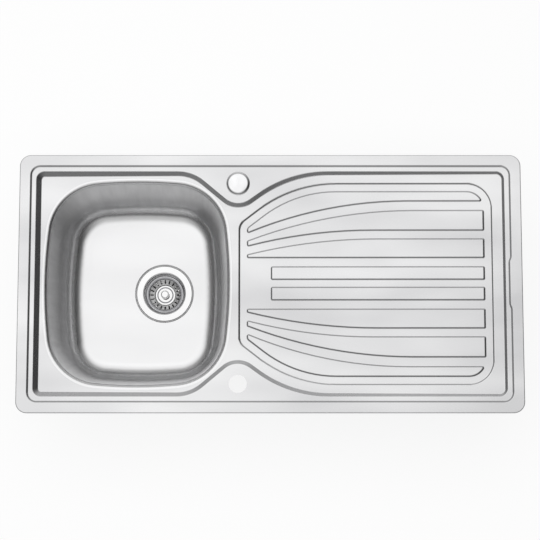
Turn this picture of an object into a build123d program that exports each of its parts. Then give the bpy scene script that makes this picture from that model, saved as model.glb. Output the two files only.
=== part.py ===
from build123d import *
from math import cos, radians, sin, sqrt, tan
import os

os.makedirs("parts", exist_ok=True)

# Inset kitchen sink with one bowl and a drainer, pressed from stainless sheet. Millimetres.
# The origin is the middle of the rim at worktop level: +X runs from the bowl to the drainer,
# +Y from the front edge to the back edge, +Z up. The worktop's top is at Z = 0.

# Pressed deck
SINK_LENGTH = 985.0
SINK_DEPTH = 508.0
SHEET = 0.9
RIM_CORNER_RADIUS = 22.0
RIM_HEIGHT = 4.5
RIM_EDGE_RADIUS = 2.0
RIM_WIDTH = 20.5
RIM_STEP_DROP = 2.2
RIM_STEP_RUN = 3.8
RIM_STEP_CORNER_RADIUS = 20.0
RIM_STEP_SOFTENING = 2.0
NOTCH_LENGTH = 84.0
NOTCH_DEPTH = 3.3
NOTCH_BLEND = 8.0
NOTCH_RADIUS = 14.0
LEDGE_WIDTH = 8.2
FIELD_DROP_AT_BOWL_END = 7.8
FIELD_DROP_AT_DRAINER_END = 4.0
FIELD_SLOPE_ANGLE = 40.0
FIELD_CORNER_RADIUS = 16.0
FIELD_TOP_SOFTENING = 2.5
FIELD_FOOT_SOFTENING = 3.0

# Tap landings, one behind the divider and one in front of it
TAP_FROM_BOWL = 20.3
TAP_INSET = 57.0
TAP_HOLE_DIAMETER = 35.0
LANDING_RADIUS = 39.0
LANDING_BOWL_ANGLE = 40.0
LANDING_BOWL_BLEND = 80.0
LANDING_DRAINER_ANGLE = 36.0
LANDING_DRAINER_BLEND = 235.0

# Drainer recess. Its throat, the narrow end towards the bowl, opens wide enough for the tip of
# the outermost panel.
DIVIDER_WIDTH = 21.3
DRAINER_END_MARGIN = 24.0
DRAINER_SIDE_MARGIN = 22.0
DRAINER_THROAT_MARGIN = 27.2
DRAINER_SHOULDER_RUN = 106.0
DRAINER_THROAT_RADIUS = 25.0
DRAINER_SHOULDER_RADIUS = 250.0
DRAINER_END_RADIUS = 50.0
DRAINER_DROP = 2.0
DRAINER_RUN = 3.0
RELIEF_SOFTENING = 2.5

# Raised drainer panels, the back four; the front four mirror them. The panels share the depth
# that the recess leaves them: a panel's edge runs at a level share of it, or inset from all of
# it, and over its last bow_length towards the bowl it may bow in to an end share, or to an
# end margin outside that.
CHANNEL_WIDTH = 16.0
PANEL_RISE = 1.8
PANEL_RUN = 3.0
PANEL_CORNER_RADIUS = 4.0
OUTER_PANEL_INNER_EDGE = {"inset": 21.5, "bow_length": 332.0, "end": 0.4947}
SECOND_PANEL_OUTER_EDGE = {"inset": 37.7, "bow_length": 342.0, "end": 0.4263}
SECOND_PANEL_INNER_EDGE = {"level": 0.5657, "bow_length": 262.0, "end": 0.3672}
THIRD_PANEL_OUTER_EDGE = {"level": 0.4866, "bow_length": 272.0, "end": 0.2698, "end_margin": 4.0}
THIRD_PANEL_INNER_EDGE = {"level": 0.2698}
MIDDLE_PANEL_OUTER_EDGE = {"level": 0.1853}
MIDDLE_PANEL_INNER_EDGE = {"level": 0.0354}
MIDDLE_PANEL_SETBACK = 63.0

# Drawn bowl, welded into the deck
BOWL_HALF_WIDTH = 177.2
BOWL_END_MARGIN = 22.3
BOWL_SIDE_MARGIN = 21.8
BOWL_SIDE_RADIUS = 900.0
BOWL_CORNER_RADIUS = 101.0
BOWL_FLOOR_DEPTH = 160.0
BOWL_DRAFT = 8.0
BOWL_FLOOR_RADIUS = 38.0
THROAT_RADIUS = 9.0
BOWL_FLANGE = 1.0
WELD_GAP = 0.05

# Waste opening in the bowl's floor
WASTE_OFFSET = 41.5
WASTE_HOLE_RADIUS = 45.0
WASTE_SEAT_RADIUS = 58.5
WASTE_SEAT_DEPTH = 2.5

# Waste fitting
CUP_FLANGE_RADIUS = 56.5
CUP_WALL = 1.0
CUP_MOUTH_RADIUS = 43.2
CUP_NECK_RADIUS = 42.4
CUP_NECK_DEPTH = 8.5
CUP_LEDGE_OUTER_RADIUS = 38.5
CUP_LEDGE_DEPTH = 15.0
CUP_WELL_RADIUS = 34.2
CUP_DEPTH = 48.5
CUP_BEND_RADIUS = 2.0
CUP_DRAIN_COUNT = 8
CUP_DRAIN_CIRCLE_RADIUS = 19.0
CUP_DRAIN_RADIUS = 4.5
GASKET_INNER_RADIUS = 46.0
FLANGE_GASKET_THICKNESS = 1.0
BODY_GASKET_THICKNESS = 2.0
BODY_FLANGE_RADIUS = 57.0
BODY_FLANGE_THICKNESS = 4.0
BODY_INNER_RADIUS = 46.5
BODY_WALL = 3.0
OUTLET_RADIUS = 23.9
OUTLET_WALL = 3.4
OUTLET_LENGTH = 32.0
BODY_FLOOR_GAP = 3.0
SPOKE_COUNT = 3
SPOKE_THICKNESS = 3.0
HUB_RADIUS = 8.0
HUB_DEPTH = 24.0
INSERT_RADIUS = 5.0
INSERT_LENGTH = 12.0
SCREW_RADIUS = 3.0
SCREW_HEAD_RADIUS = 6.0
SCREW_HEAD_HEIGHT = 3.2
SCREW_SLOT_LENGTH = 6.0
SCREW_SLOT_WIDTH = 1.2
SCREW_CLEARANCE = 0.1
FIT_GAP = 0.02

# Strainer basket and stopper
REST_GAP = 0.3
BASKET_WALL = 0.8
BASKET_RIM_RADIUS = 37.0
BASKET_TOP_RADIUS = 33.0
BASKET_STEP_RADIUS = 32.3
BASKET_STEP_DEPTH = 6.0
BASKET_SUMP_RADIUS = 22.3
BASKET_SUMP_DEPTH = 7.0
BASKET_DEPTH = 18.5
SLOT_COUNT = 20
SLOT_WIDTH = 3.0
BASKET_BEND_RADIUS = 1.5
SLOT_INNER_RADIUS = 23.8
SLOT_OUTER_RADIUS = 31.2
BASKET_DRAIN_COUNT = 8
BASKET_DRAIN_CIRCLE_RADIUS = 15.0
BASKET_DRAIN_RADIUS = 2.5
STEM_RADIUS = 4.0
RUNNING_CLEARANCE = 0.08
DISC_RADIUS = 20.5
DISC_RING_RADIUS = 16.0
DISC_RING_WIDTH = 1.6
DISC_RING_HEIGHT = 0.8
DISC_RING_ROUNDING = 0.5
DISC_THICKNESS = 1.2
DISC_DEPTH = 26.0
KNOB_RADIUS = 8.5
KNOB_HEIGHT = 7.0
KNOB_ROUNDING = 3.0
KNOB_NECK_RADIUS = 5.0
KNOB_NECK_HEIGHT = 8.0
STOPPER_PLATE_RADIUS = 20.0
STOPPER_PLATE_THICKNESS = 1.0
STOPPER_SEAL_RADIUS = 27.5
STOPPER_SEAL_BORE = 12.0
STOPPER_SEAL_THICKNESS = 4.0

# Blanking cap in the back tap hole
CAP_RADIUS = 23.0
CAP_HEIGHT = 6.0
CAP_CROWN_RADIUS = 17.5
CAP_CROWN_FALL = 1.0
CAP_EDGE_HEIGHT = 1.8
CAP_WALL = 1.4
CAP_SKIRT_WIDTH = 1.5
CAP_SKIRT_GAP = 0.4
CAP_BOSS_RADIUS = 7.0
CAP_STUD_RADIUS = 4.0
CAP_STUD_LENGTH = 38.0
CAP_STUD_ENGAGEMENT = 3.0
CAP_GASKET_THICKNESS = 1.0
CAP_GASKET_INNER_RADIUS = 18.5
CAP_GASKET_OUTER_RADIUS = 21.0
CAP_WASHER_RADIUS = 22.0
CAP_WASHER_THICKNESS = 2.0
CAP_NUT_RADIUS = 7.5
CAP_NUT_HEIGHT = 8.0
WING_LENGTH = 10.0
WING_HEIGHT = 12.0
WING_THICKNESS = 2.5
WING_ROOT = 2.0
WING_CORNER_RADIUS = 3.5

# Seal, fixing rails, studs and clips under the rim
SEAL_INSET = 2.5
SEAL_WIDTH = 7.0
RAIL_INSET = 18.0
RAIL_WIDTH = 13.0
RAIL_HEIGHT = 10.0
RAIL_WALL = 1.2
RAIL_END_CLEARANCE = 56.0
STUD_RADIUS = 3.0
STUD_LENGTH = 63.0
STUD_COLLAR_RADIUS = 5.0
STUD_COLLAR_THICKNESS = 1.5
STUD_END_INSET = 162.5
MIDDLE_STUD_X = 20.0
CLIP_NUT_RADIUS = 6.5
CLIP_NUT_HEIGHT = 9.0
CLIP_ARM_LENGTH = 37.0
CLIP_ARM_TAIL = 9.0
CLIP_ARM_WIDTH = 16.0
CLIP_ARM_THICKNESS = 2.5
CLIP_ARM_CORNER_RADIUS = 4.0
CLIP_TOOTH_HEIGHT = 7.0
CLIP_HOLE_CLEARANCE = 0.3

# Sound-damping pads
PAD_THICKNESS = 2.5
PAD_CORNER_RADIUS = 12.0
BOWL_PAD_LENGTH = 76.0
BOWL_PAD_DEPTH = 240.0
BOWL_PAD_WASTE_GAP = 10.0
DRAINER_PAD_LENGTH = 300.0
DRAINER_PAD_DEPTH = 260.0

# Construction: how far a cutting shape runs past what it cuts, the depth of the block that
# carries the relief, the distance within which points count as one, and the turn in degrees
# from which a corner counts as sharp.
OVERCUT = 10.0
BLOCK_DEPTH = 25.0
SEAM = 1e-3
SHARP_TURN = 20.0
HANGING = (Align.CENTER, Align.CENTER, Align.MAX)


# Levels and places worked out from the sizes ------------------------------------------------

ledge_z = RIM_HEIGHT - RIM_STEP_DROP
ledge_underside_z = ledge_z - SHEET
field_inset = RIM_WIDTH + RIM_STEP_RUN + LEDGE_WIDTH
ledge_inset = field_inset - LEDGE_WIDTH / 2
field_half_length = SINK_LENGTH / 2 - field_inset
field_half_depth = SINK_DEPTH / 2 - field_inset
bowl_half_depth = field_half_depth - BOWL_SIDE_MARGIN
bowl_x = -field_half_length + BOWL_END_MARGIN + BOWL_HALF_WIDTH
bowl_right_x = bowl_x + BOWL_HALF_WIDTH
waste_x = bowl_x + WASTE_OFFSET
tap_x = bowl_right_x + TAP_FROM_BOWL
tap_y = SINK_DEPTH / 2 - TAP_INSET
drainer_left_x = bowl_right_x + DIVIDER_WIDTH
drainer_right_x = field_half_length - DRAINER_END_MARGIN
drainer_half_depth = field_half_depth - DRAINER_SIDE_MARGIN
panelled_half_depth = drainer_half_depth - CHANNEL_WIDTH

# The field falls towards the bowl in one plane; the drainer recess lies parallel to it.
field_low_z = ledge_z - FIELD_DROP_AT_BOWL_END
field_high_z = ledge_z - FIELD_DROP_AT_DRAINER_END
field_fall = (field_high_z - field_low_z) / (2 * field_half_length)
field_slope = tan(radians(FIELD_SLOPE_ANGLE))
rim_plane = Plane.XY.offset(RIM_HEIGHT)
ledge_plane = Plane.XY.offset(ledge_z)
field_plane = Plane(
    origin=(0, 0, (field_low_z + field_high_z) / 2),
    x_dir=(1, 0, field_fall),
    z_dir=(-field_fall, 0, 1),
)
drainer_plane = field_plane.offset(-DRAINER_DROP)
panel_plane = drainer_plane.offset(PANEL_RISE)

waste_seat_z = -BOWL_FLOOR_DEPTH - WASTE_SEAT_DEPTH
waste_underside_z = waste_seat_z - SHEET
waste_plane = Plane(origin=(waste_x, 0, 0))
waste_section = Plane(origin=(waste_x, 0, 0), x_dir=(1, 0, 0), z_dir=(0, -1, 0))
waste_axis = Axis((waste_x, 0, 0), (0, 0, 1))


def export(part, name):
    """Label a finished piece and write it under its node's name."""
    part.label = name
    export_step(part, f"parts/{name}.step")


def edges_on(plane, edges):
    """The edges that lie in a plane."""
    return edges.filter_by(
        lambda edge: all(
            abs(plane.to_local_coords(edge @ place).Z) < SEAM for place in (0, 0.5, 1)
        )
    )


def inside_rim(edge):
    """Whether an edge lies inside the sink's outline, as the block's own edges don't."""
    middle = edge @ 0.5
    return abs(middle.X) < SINK_LENGTH / 2 and abs(middle.Y) < SINK_DEPTH / 2


# Outlines seen from above -------------------------------------------------------------------


def rim_outline(inset):
    """The sink's outline drawn in by inset."""
    with BuildSketch() as outline:
        RectangleRounded(
            SINK_LENGTH - 2 * inset,
            SINK_DEPTH - 2 * inset,
            RIM_CORNER_RADIUS - inset,
        )
    return outline.sketch


def mirrored_outline(back_half):
    """A closed outline from the (x, y, radius) corners of its back half, mirrored in front."""
    front_half = [(x, -y, radius) for x, y, radius in reversed(back_half)]
    corners = back_half + front_half
    with BuildSketch() as outline:
        with BuildLine():
            FilletPolyline(
                [(x, y) for x, y, _ in corners],
                radius=[radius for _, _, radius in corners],
                close=True,
            )
        make_face()
    return outline.sketch


def rim_step_outline():
    """Head of the step inside the rim, with the shallow notch in its drainer end."""
    half_length = SINK_LENGTH / 2 - RIM_WIDTH
    half_depth = SINK_DEPTH / 2 - RIM_WIDTH
    half_notch = NOTCH_LENGTH / 2
    return mirrored_outline([
        (-half_length, half_depth, RIM_STEP_CORNER_RADIUS),
        (half_length, half_depth, RIM_STEP_CORNER_RADIUS),
        (half_length, half_notch + NOTCH_BLEND, NOTCH_RADIUS),
        (half_length - NOTCH_DEPTH, half_notch, NOTCH_RADIUS),
    ])


def field_run(x):
    """How far the field's slope runs in at a place along the sink: the drop there decides."""
    return (ledge_z - (field_low_z + field_high_z) / 2 - x * field_fall) / field_slope


def field_outline(run):
    """Head of the field's slope, or its foot: a rectangle that turns in round the tap landings.

    run(x) is how far the outline is drawn in. The landing's flanks are tangents to a circle
    round the tap hole, so each meets the long side where that tangent does, and the two
    tangents meet at the landing's tip.
    """
    left_x = -field_half_length + run(-field_half_length)
    right_x = field_half_length - run(field_half_length)
    bowl_angle = radians(LANDING_BOWL_ANGLE)
    drainer_angle = radians(LANDING_DRAINER_ANGLE)
    tip_radius = LANDING_RADIUS + run(tap_x)
    side_y = field_half_depth - run(tap_x)
    setback = side_y - tap_y
    bowl_side_x = tap_x - (tip_radius + setback * cos(bowl_angle)) / sin(bowl_angle)
    drainer_side_x = tap_x + (tip_radius + setback * cos(drainer_angle)) / sin(drainer_angle)
    rise = tan(bowl_angle)
    fall = tan(drainer_angle)
    tip_x = (bowl_side_x * rise + drainer_side_x * fall) / (rise + fall)
    tip_y = side_y - (tip_x - bowl_side_x) * rise
    corners = [
        (left_x, FIELD_CORNER_RADIUS - run(left_x)),
        (bowl_side_x, LANDING_BOWL_BLEND - run(bowl_side_x)),
        (drainer_side_x, LANDING_DRAINER_BLEND - run(drainer_side_x)),
        (right_x, FIELD_CORNER_RADIUS - run(right_x)),
    ]
    outline = [(x, field_half_depth - run(x), radius) for x, radius in corners]
    outline.insert(2, (tip_x, tip_y, tip_radius))
    return mirrored_outline(outline)


def drainer_outline():
    """Head of the drainer recess, which narrows towards the bowl."""
    panel_tip_y = OUTER_PANEL_INNER_EDGE["end"] * panelled_half_depth
    throat_half_depth = panel_tip_y + DRAINER_THROAT_MARGIN
    shoulder_x = drainer_left_x + DRAINER_SHOULDER_RUN
    return mirrored_outline([
        (drainer_left_x, throat_half_depth, DRAINER_THROAT_RADIUS),
        (shoulder_x, drainer_half_depth, DRAINER_SHOULDER_RADIUS),
        (drainer_right_x, drainer_half_depth, DRAINER_END_RADIUS),
    ])


def within_edge(level=1.0, inset=0.0, bow_length=None, end=None, end_margin=0.0):
    """Everything between the middle line and a panel's edge, given by its shares.

    The edge runs level from the drainer's end. Over bow_length it bows in, on an arc that
    leaves the level part smoothly, to its end share at the recess's narrow end.
    """
    far = SINK_LENGTH / 2
    level_y = level * panelled_half_depth - inset
    end_y = level_y if end is None else end * panelled_half_depth + end_margin
    with BuildSketch() as region:
        with BuildLine():
            if bow_length is None:
                edge = Polyline((far, 0), (far, level_y), (-far, level_y), (-far, 0))
            else:
                bow_start = (drainer_left_x + bow_length, level_y)
                bow_fall = level_y - end_y
                bow_radius = (bow_length**2 + bow_fall**2) / (2 * bow_fall)
                bow_end = (drainer_left_x, end_y)
                Polyline((far, 0), (far, level_y), bow_start)
                RadiusArc(bow_start, bow_end, -bow_radius)
                edge = Polyline(bow_end, (drainer_left_x, 0))
            Line(edge @ 1, (far, 0))
        make_face()
    return region.sketch


def leaving(edge, corner):
    """The direction in which an edge leaves a corner."""
    if (edge @ 0 - corner).length < SEAM:
        return edge % 0
    return -(edge % 1)


def sharp_corners(outline):
    """The corners of a sketch where its outline turns sharply."""
    corners = ShapeList()
    for vertex in outline.vertices():
        corner = vertex.center()
        first, second = [
            leaving(edge, corner)
            for edge in outline.edges()
            if any((corner - end.center()).length < SEAM for end in edge.vertices())
        ]
        if first.get_angle(second) < 180 - SHARP_TURN:
            corners.append(vertex)
    return corners


def panel_outline(inner_edge, outer_edge=None, setback=0):
    """Foot of one raised panel: a strip of the drainer recess, one channel in from its edge.

    setback is how far from the recess's narrow end the panel starts, at the least. The corners
    are rounded as far as the panel's narrow end leaves room for two.
    """
    with BuildSketch() as panel:
        add(drainer_outline())
        offset(amount=-CHANNEL_WIDTH, mode=Mode.REPLACE)
        if outer_edge is None:
            with Locations((0, SINK_DEPTH / 2)):
                Rectangle(2 * SINK_LENGTH, SINK_DEPTH, mode=Mode.INTERSECT)
        else:
            add(within_edge(**outer_edge), mode=Mode.INTERSECT)
        add(within_edge(**inner_edge), mode=Mode.SUBTRACT)
        with Locations((drainer_left_x + setback, 0)):
            Rectangle(
                SINK_LENGTH,
                SINK_DEPTH,
                align=(Align.MIN, Align.CENTER),
                mode=Mode.INTERSECT,
            )
        narrow_end = panel.edges().sort_by(SortBy.LENGTH)[0].length
        fillet(sharp_corners(panel), min(PANEL_CORNER_RADIUS, narrow_end / 2))
    return panel.sketch


def bowl_outline(growth):
    """The bowl's plan: four shallow arcs with large corners, grown by growth all round."""
    side_radius = BOWL_SIDE_RADIUS + growth
    reach_x = BOWL_SIDE_RADIUS - BOWL_HALF_WIDTH
    reach_y = BOWL_SIDE_RADIUS - bowl_half_depth
    with BuildSketch() as outline:
        with Locations((-reach_x, 0)):
            Circle(side_radius)
        for centre in ((reach_x, 0), (0, -reach_y), (0, reach_y)):
            with Locations(centre):
                Circle(side_radius, mode=Mode.INTERSECT)
        fillet(outline.vertices(), BOWL_CORNER_RADIUS + growth)
    return outline.sketch


# Bowl ---------------------------------------------------------------------------------------

bowl_draft_run = tan(radians(BOWL_DRAFT))
throat_reach = THROAT_RADIUS * tan(radians(90 - BOWL_DRAFT) / 2)
flange_growth = throat_reach + BOWL_FLANGE


def on_field(outline):
    """A plan outline about the bowl's middle, laid on the field."""
    return outline.moved(Location((bowl_x, 0, 0)))


def bowl_form(wall, flange_outline):
    """The solid inside the bowl (wall 0), or the one out to the far side of its wall."""
    floor_z = -BOWL_FLOOR_DEPTH - wall
    flange_plane = field_plane.offset(-wall)
    with BuildPart() as form:
        with BuildSketch(Plane(origin=(bowl_x, 0, 0))):
            add(bowl_outline(wall))
        with BuildSketch(Plane(origin=(bowl_x, 0, floor_z))):
            add(bowl_outline(wall + floor_z * bowl_draft_run))
        loft(ruled=True)
        fillet(form.edges().group_by(Axis.Z)[0], BOWL_FLOOR_RADIUS + wall)
        with BuildSketch(flange_plane):
            add(flange_outline)
        extrude(amount=OVERCUT)
        fillet(edges_on(flange_plane, form.edges(Select.NEW)), THROAT_RADIUS - wall)
        with Locations((waste_x, 0, floor_z)):
            Cone(
                bottom_radius=WASTE_SEAT_RADIUS,
                top_radius=WASTE_SEAT_RADIUS + WASTE_SEAT_DEPTH,
                height=WASTE_SEAT_DEPTH,
                align=HANGING,
            )
    return form.part


flange_outline = on_field(bowl_outline(flange_growth))
bowl_inside = bowl_form(0, on_field(bowl_outline(flange_growth + OVERCUT)))
bowl_outside = bowl_form(SHEET, flange_outline)

with BuildPart() as bowl:
    add(bowl_outside)
    add(bowl_inside, mode=Mode.SUBTRACT)
    with BuildSketch(waste_plane.offset(waste_seat_z + OVERCUT)):
        Circle(WASTE_HOLE_RADIUS)
    extrude(amount=-2 * OVERCUT, mode=Mode.SUBTRACT)
export(bowl.part, "bowl")


# Deck ---------------------------------------------------------------------------------------

# The field and the drainer recess are cut by solids whose walls run between an outline at
# their head and the same outline drawn in at their foot.
with BuildPart() as field_recess:
    with BuildSketch(ledge_plane):
        add(field_outline(lambda x: 0))
    with BuildSketch(field_plane):
        add(field_outline(field_run))
    loft(ruled=True)
    fillet(edges_on(field_plane, field_recess.edges()), FIELD_FOOT_SOFTENING)

with BuildPart() as drainer_recess:
    with BuildSketch(field_plane):
        add(drainer_outline())
    with BuildSketch(drainer_plane):
        add(drainer_outline())
        offset(amount=-DRAINER_RUN, mode=Mode.REPLACE)
    loft(ruled=True)
    fillet(edges_on(drainer_plane, drainer_recess.edges()), RELIEF_SOFTENING)

panel_feet = [
    panel_outline(OUTER_PANEL_INNER_EDGE),
    panel_outline(SECOND_PANEL_INNER_EDGE, SECOND_PANEL_OUTER_EDGE),
    panel_outline(THIRD_PANEL_INNER_EDGE, THIRD_PANEL_OUTER_EDGE),
    panel_outline(MIDDLE_PANEL_INNER_EDGE, MIDDLE_PANEL_OUTER_EDGE, MIDDLE_PANEL_SETBACK),
]
with BuildPart() as panels:
    for panel_foot in panel_feet:
        with BuildSketch(drainer_plane):
            add(panel_foot)
        with BuildSketch(panel_plane):
            add(panel_foot)
            offset(amount=-PANEL_RUN, mode=Mode.REPLACE)
        loft(ruled=True)
    fillet(edges_on(panel_plane, panels.edges()), RELIEF_SOFTENING)
    mirror(about=Plane.XZ)

# A block larger than the sink whose top face carries the whole pressed relief.
with BuildPart() as relief:
    with BuildSketch(rim_plane):
        Rectangle(SINK_LENGTH + 2 * OVERCUT, SINK_DEPTH + 2 * OVERCUT)
    extrude(amount=-BLOCK_DEPTH)
    with BuildSketch(rim_plane):
        add(rim_step_outline())
    with BuildSketch(ledge_plane):
        add(rim_step_outline())
        offset(amount=-RIM_STEP_RUN, mode=Mode.REPLACE)
    loft(ruled=True, mode=Mode.SUBTRACT)
    fillet(edges_on(ledge_plane, relief.edges(Select.LAST)), RIM_STEP_SOFTENING)
    fillet(edges_on(rim_plane, relief.edges()).filter_by(inside_rim), RIM_STEP_SOFTENING)
    add(field_recess.part, mode=Mode.SUBTRACT)
    fillet(edges_on(ledge_plane, relief.edges(Select.LAST)), FIELD_TOP_SOFTENING)
    add(drainer_recess.part, mode=Mode.SUBTRACT)
    fillet(edges_on(field_plane, relief.edges(Select.LAST)), RELIEF_SOFTENING)
    add(panels.part)
    fillet(edges_on(drainer_plane, relief.edges(Select.LAST)), RELIEF_SOFTENING)

# The hollow under the sheet: the same relief, one sheet lower, inside the turned-down rim.
with BuildPart() as under_sheet:
    with BuildSketch(Plane.XY.offset(-BLOCK_DEPTH)):
        add(rim_outline(SHEET))
    extrude(amount=BLOCK_DEPTH + RIM_HEIGHT - SHEET)
    fillet(
        under_sheet.edges().group_by(Axis.Z)[-1],
        RIM_EDGE_RADIUS - SHEET,
    )
    add(relief.part.moved(Location((0, 0, -SHEET))), mode=Mode.INTERSECT)

with BuildPart() as deck:
    with BuildSketch():
        add(rim_outline(0))
    extrude(amount=RIM_HEIGHT)
    fillet(deck.edges().group_by(Axis.Z)[-1], RIM_EDGE_RADIUS)
    with BuildSketch():
        Rectangle(SINK_LENGTH - 2 * ledge_inset, SINK_DEPTH - 2 * ledge_inset)
    extrude(amount=OVERCUT - BLOCK_DEPTH)
    add(relief.part, mode=Mode.INTERSECT)
    add(under_sheet.part, mode=Mode.SUBTRACT)
    with BuildSketch(Plane(origin=(bowl_x, 0, 0))):
        add(bowl_outline(flange_growth + WELD_GAP))
    extrude(amount=-BLOCK_DEPTH, mode=Mode.SUBTRACT)
    with Locations((tap_x, tap_y, ledge_z), (tap_x, -tap_y, ledge_z)):
        Hole(TAP_HOLE_DIAMETER / 2, depth=2 * SHEET)
export(deck.part, "deck")

# Seal, rails and studs under the rim --------------------------------------------------------

with BuildPart() as rim_seal:
    with BuildSketch():
        add(rim_outline(SEAL_INSET))
        add(rim_outline(SEAL_INSET + SEAL_WIDTH), mode=Mode.SUBTRACT)
    extrude(amount=RIM_HEIGHT - SHEET)
export(rim_seal.part, "rim_seal")

rail_inset = RAIL_INSET + RAIL_WIDTH / 2
rail_y = SINK_DEPTH / 2 - rail_inset
rail_x = SINK_LENGTH / 2 - rail_inset
stud_top_z = ledge_underside_z - RAIL_WALL


def rail(length, place, turn):
    """A channel open downwards, welded under the ledge along one side."""
    with BuildPart(Plane((*place, ledge_underside_z)).rotated((0, 0, turn))) as channel:
        Box(length, RAIL_WIDTH, RAIL_HEIGHT, align=HANGING)
        with Locations((0, 0, -RAIL_WALL)):
            Box(
                length,
                RAIL_WIDTH - 2 * RAIL_WALL,
                RAIL_HEIGHT,
                align=HANGING,
                mode=Mode.SUBTRACT,
            )
    return channel.part


long_rail = SINK_LENGTH - 2 * RAIL_END_CLEARANCE
short_rail = SINK_DEPTH - 2 * RAIL_END_CLEARANCE
export(rail(long_rail, (0, -rail_y), 0), "rail_front")
export(rail(long_rail, (0, rail_y), 0), "rail_back")
export(rail(short_rail, (-rail_x, 0), 90), "rail_left")
export(rail(short_rail, (rail_x, 0), 90), "rail_right")

# Stud places with the heading, in degrees, that leads out from the sink at each.
end_stud_x = SINK_LENGTH / 2 - STUD_END_INSET
stud_xs = (-end_stud_x, MIDDLE_STUD_X, end_stud_x)
stud_places = [(x, -rail_y, -90) for x in stud_xs]
stud_places += [(rail_x, 0, 0)]
stud_places += [(x, rail_y, 90) for x in reversed(stud_xs)]
stud_places += [(-rail_x, 0, 180)]

with BuildPart() as clip_studs:
    with Locations(*[(x, y, stud_top_z) for x, y, _ in stud_places]):
        Cylinder(STUD_COLLAR_RADIUS, STUD_COLLAR_THICKNESS, align=HANGING)
        Cylinder(STUD_RADIUS, STUD_LENGTH, align=HANGING)
export(clip_studs.part, "clip_studs")


# Fixing clips -------------------------------------------------------------------------------

clip_nut_z = stud_top_z - STUD_LENGTH + REST_GAP
clip_arm_z = clip_nut_z + CLIP_NUT_HEIGHT + REST_GAP


def wing_nut(top, radius, height, bore):
    """A nut that hangs from its top's middle, with two wings round its lower end."""
    wing_plane = Plane(origin=top, x_dir=(1, 0, 0), z_dir=(0, -1, 0))
    wing_x = radius + WING_LENGTH / 2 - WING_ROOT
    with BuildPart(Plane(origin=top)) as nut:
        Cylinder(radius, height, align=HANGING)
        with BuildSketch(wing_plane):
            with Locations((wing_x, -height), (-wing_x, -height)):
                RectangleRounded(WING_LENGTH, WING_HEIGHT, WING_CORNER_RADIUS)
        extrude(amount=WING_THICKNESS / 2, both=True)
        Cylinder(bore, height + WING_HEIGHT, align=HANGING, mode=Mode.SUBTRACT)
    return nut.part


def clip_arm(plane):
    """A strip that turns on its stud at the plane's origin, with a tooth at its far end."""
    tip_x = CLIP_ARM_LENGTH - CLIP_ARM_THICKNESS / 2
    with BuildPart() as arm:
        with BuildSketch(plane):
            with Locations(((CLIP_ARM_LENGTH - CLIP_ARM_TAIL) / 2, 0)):
                Rectangle(CLIP_ARM_LENGTH + CLIP_ARM_TAIL, CLIP_ARM_WIDTH)
            Circle(STUD_RADIUS + CLIP_HOLE_CLEARANCE, mode=Mode.SUBTRACT)
        extrude(amount=CLIP_ARM_THICKNESS)
        with BuildSketch(plane.offset(CLIP_ARM_THICKNESS)):
            with Locations((tip_x, 0)):
                Rectangle(CLIP_ARM_THICKNESS, CLIP_ARM_WIDTH)
        extrude(amount=CLIP_TOOTH_HEIGHT)
        upright = arm.edges().filter_by(Axis.Z)
        fillet(
            upright.filter_by(lambda edge: edge.length < CLIP_ARM_THICKNESS + SEAM),
            CLIP_ARM_CORNER_RADIUS,
        )
    return arm.part


for number, (x, y, heading) in enumerate(stud_places, start=1):
    nut = wing_nut(
        (x, y, clip_nut_z + CLIP_NUT_HEIGHT),
        CLIP_NUT_RADIUS,
        CLIP_NUT_HEIGHT,
        STUD_RADIUS + RUNNING_CLEARANCE,
    )
    export(nut, f"clip_nut_{number}")
    # At rest the arm lies along the sink's side, a quarter turn short of its heading.
    rest_heading = radians(heading - 90)
    arm_plane = Plane(
        origin=(x, y, clip_arm_z),
        x_dir=(cos(rest_heading), sin(rest_heading), 0),
    )
    export(clip_arm(arm_plane), f"clip_arm_{number}")


# Waste fitting ------------------------------------------------------------------------------

cup_flange_z = waste_seat_z + FLANGE_GASKET_THICKNESS
cup_ledge_z = cup_flange_z - CUP_LEDGE_DEPTH
cup_bottom_z = cup_flange_z - CUP_DEPTH
body_top_z = waste_underside_z - BODY_GASKET_THICKNESS
body_floor_z = cup_bottom_z - BODY_FLOOR_GAP
outlet_top_z = body_floor_z - BODY_WALL
outlet_bore = OUTLET_RADIUS - OUTLET_WALL


def ring(top_z, thickness, inner_radius, outer_radius):
    """A flat ring on the waste's axis, hanging from its top."""
    with BuildPart() as band:
        with BuildSketch(waste_plane.offset(top_z)):
            Circle(outer_radius)
            Circle(inner_radius, mode=Mode.SUBTRACT)
        extrude(amount=-thickness)
    return band.part


def rod(top_z, bottom_z, radius):
    """A round bar on the waste's axis between two levels."""
    with BuildPart() as bar:
        with BuildSketch(waste_plane.offset(top_z)):
            Circle(radius)
        extrude(amount=bottom_z - top_z)
    return bar.part


export(
    ring(cup_flange_z, FLANGE_GASKET_THICKNESS, GASKET_INNER_RADIUS, CUP_FLANGE_RADIUS),
    "flange_gasket",
)
export(
    ring(waste_underside_z, BODY_GASKET_THICKNESS, BODY_INNER_RADIUS, BODY_FLANGE_RADIUS),
    "waste_gasket",
)

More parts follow.
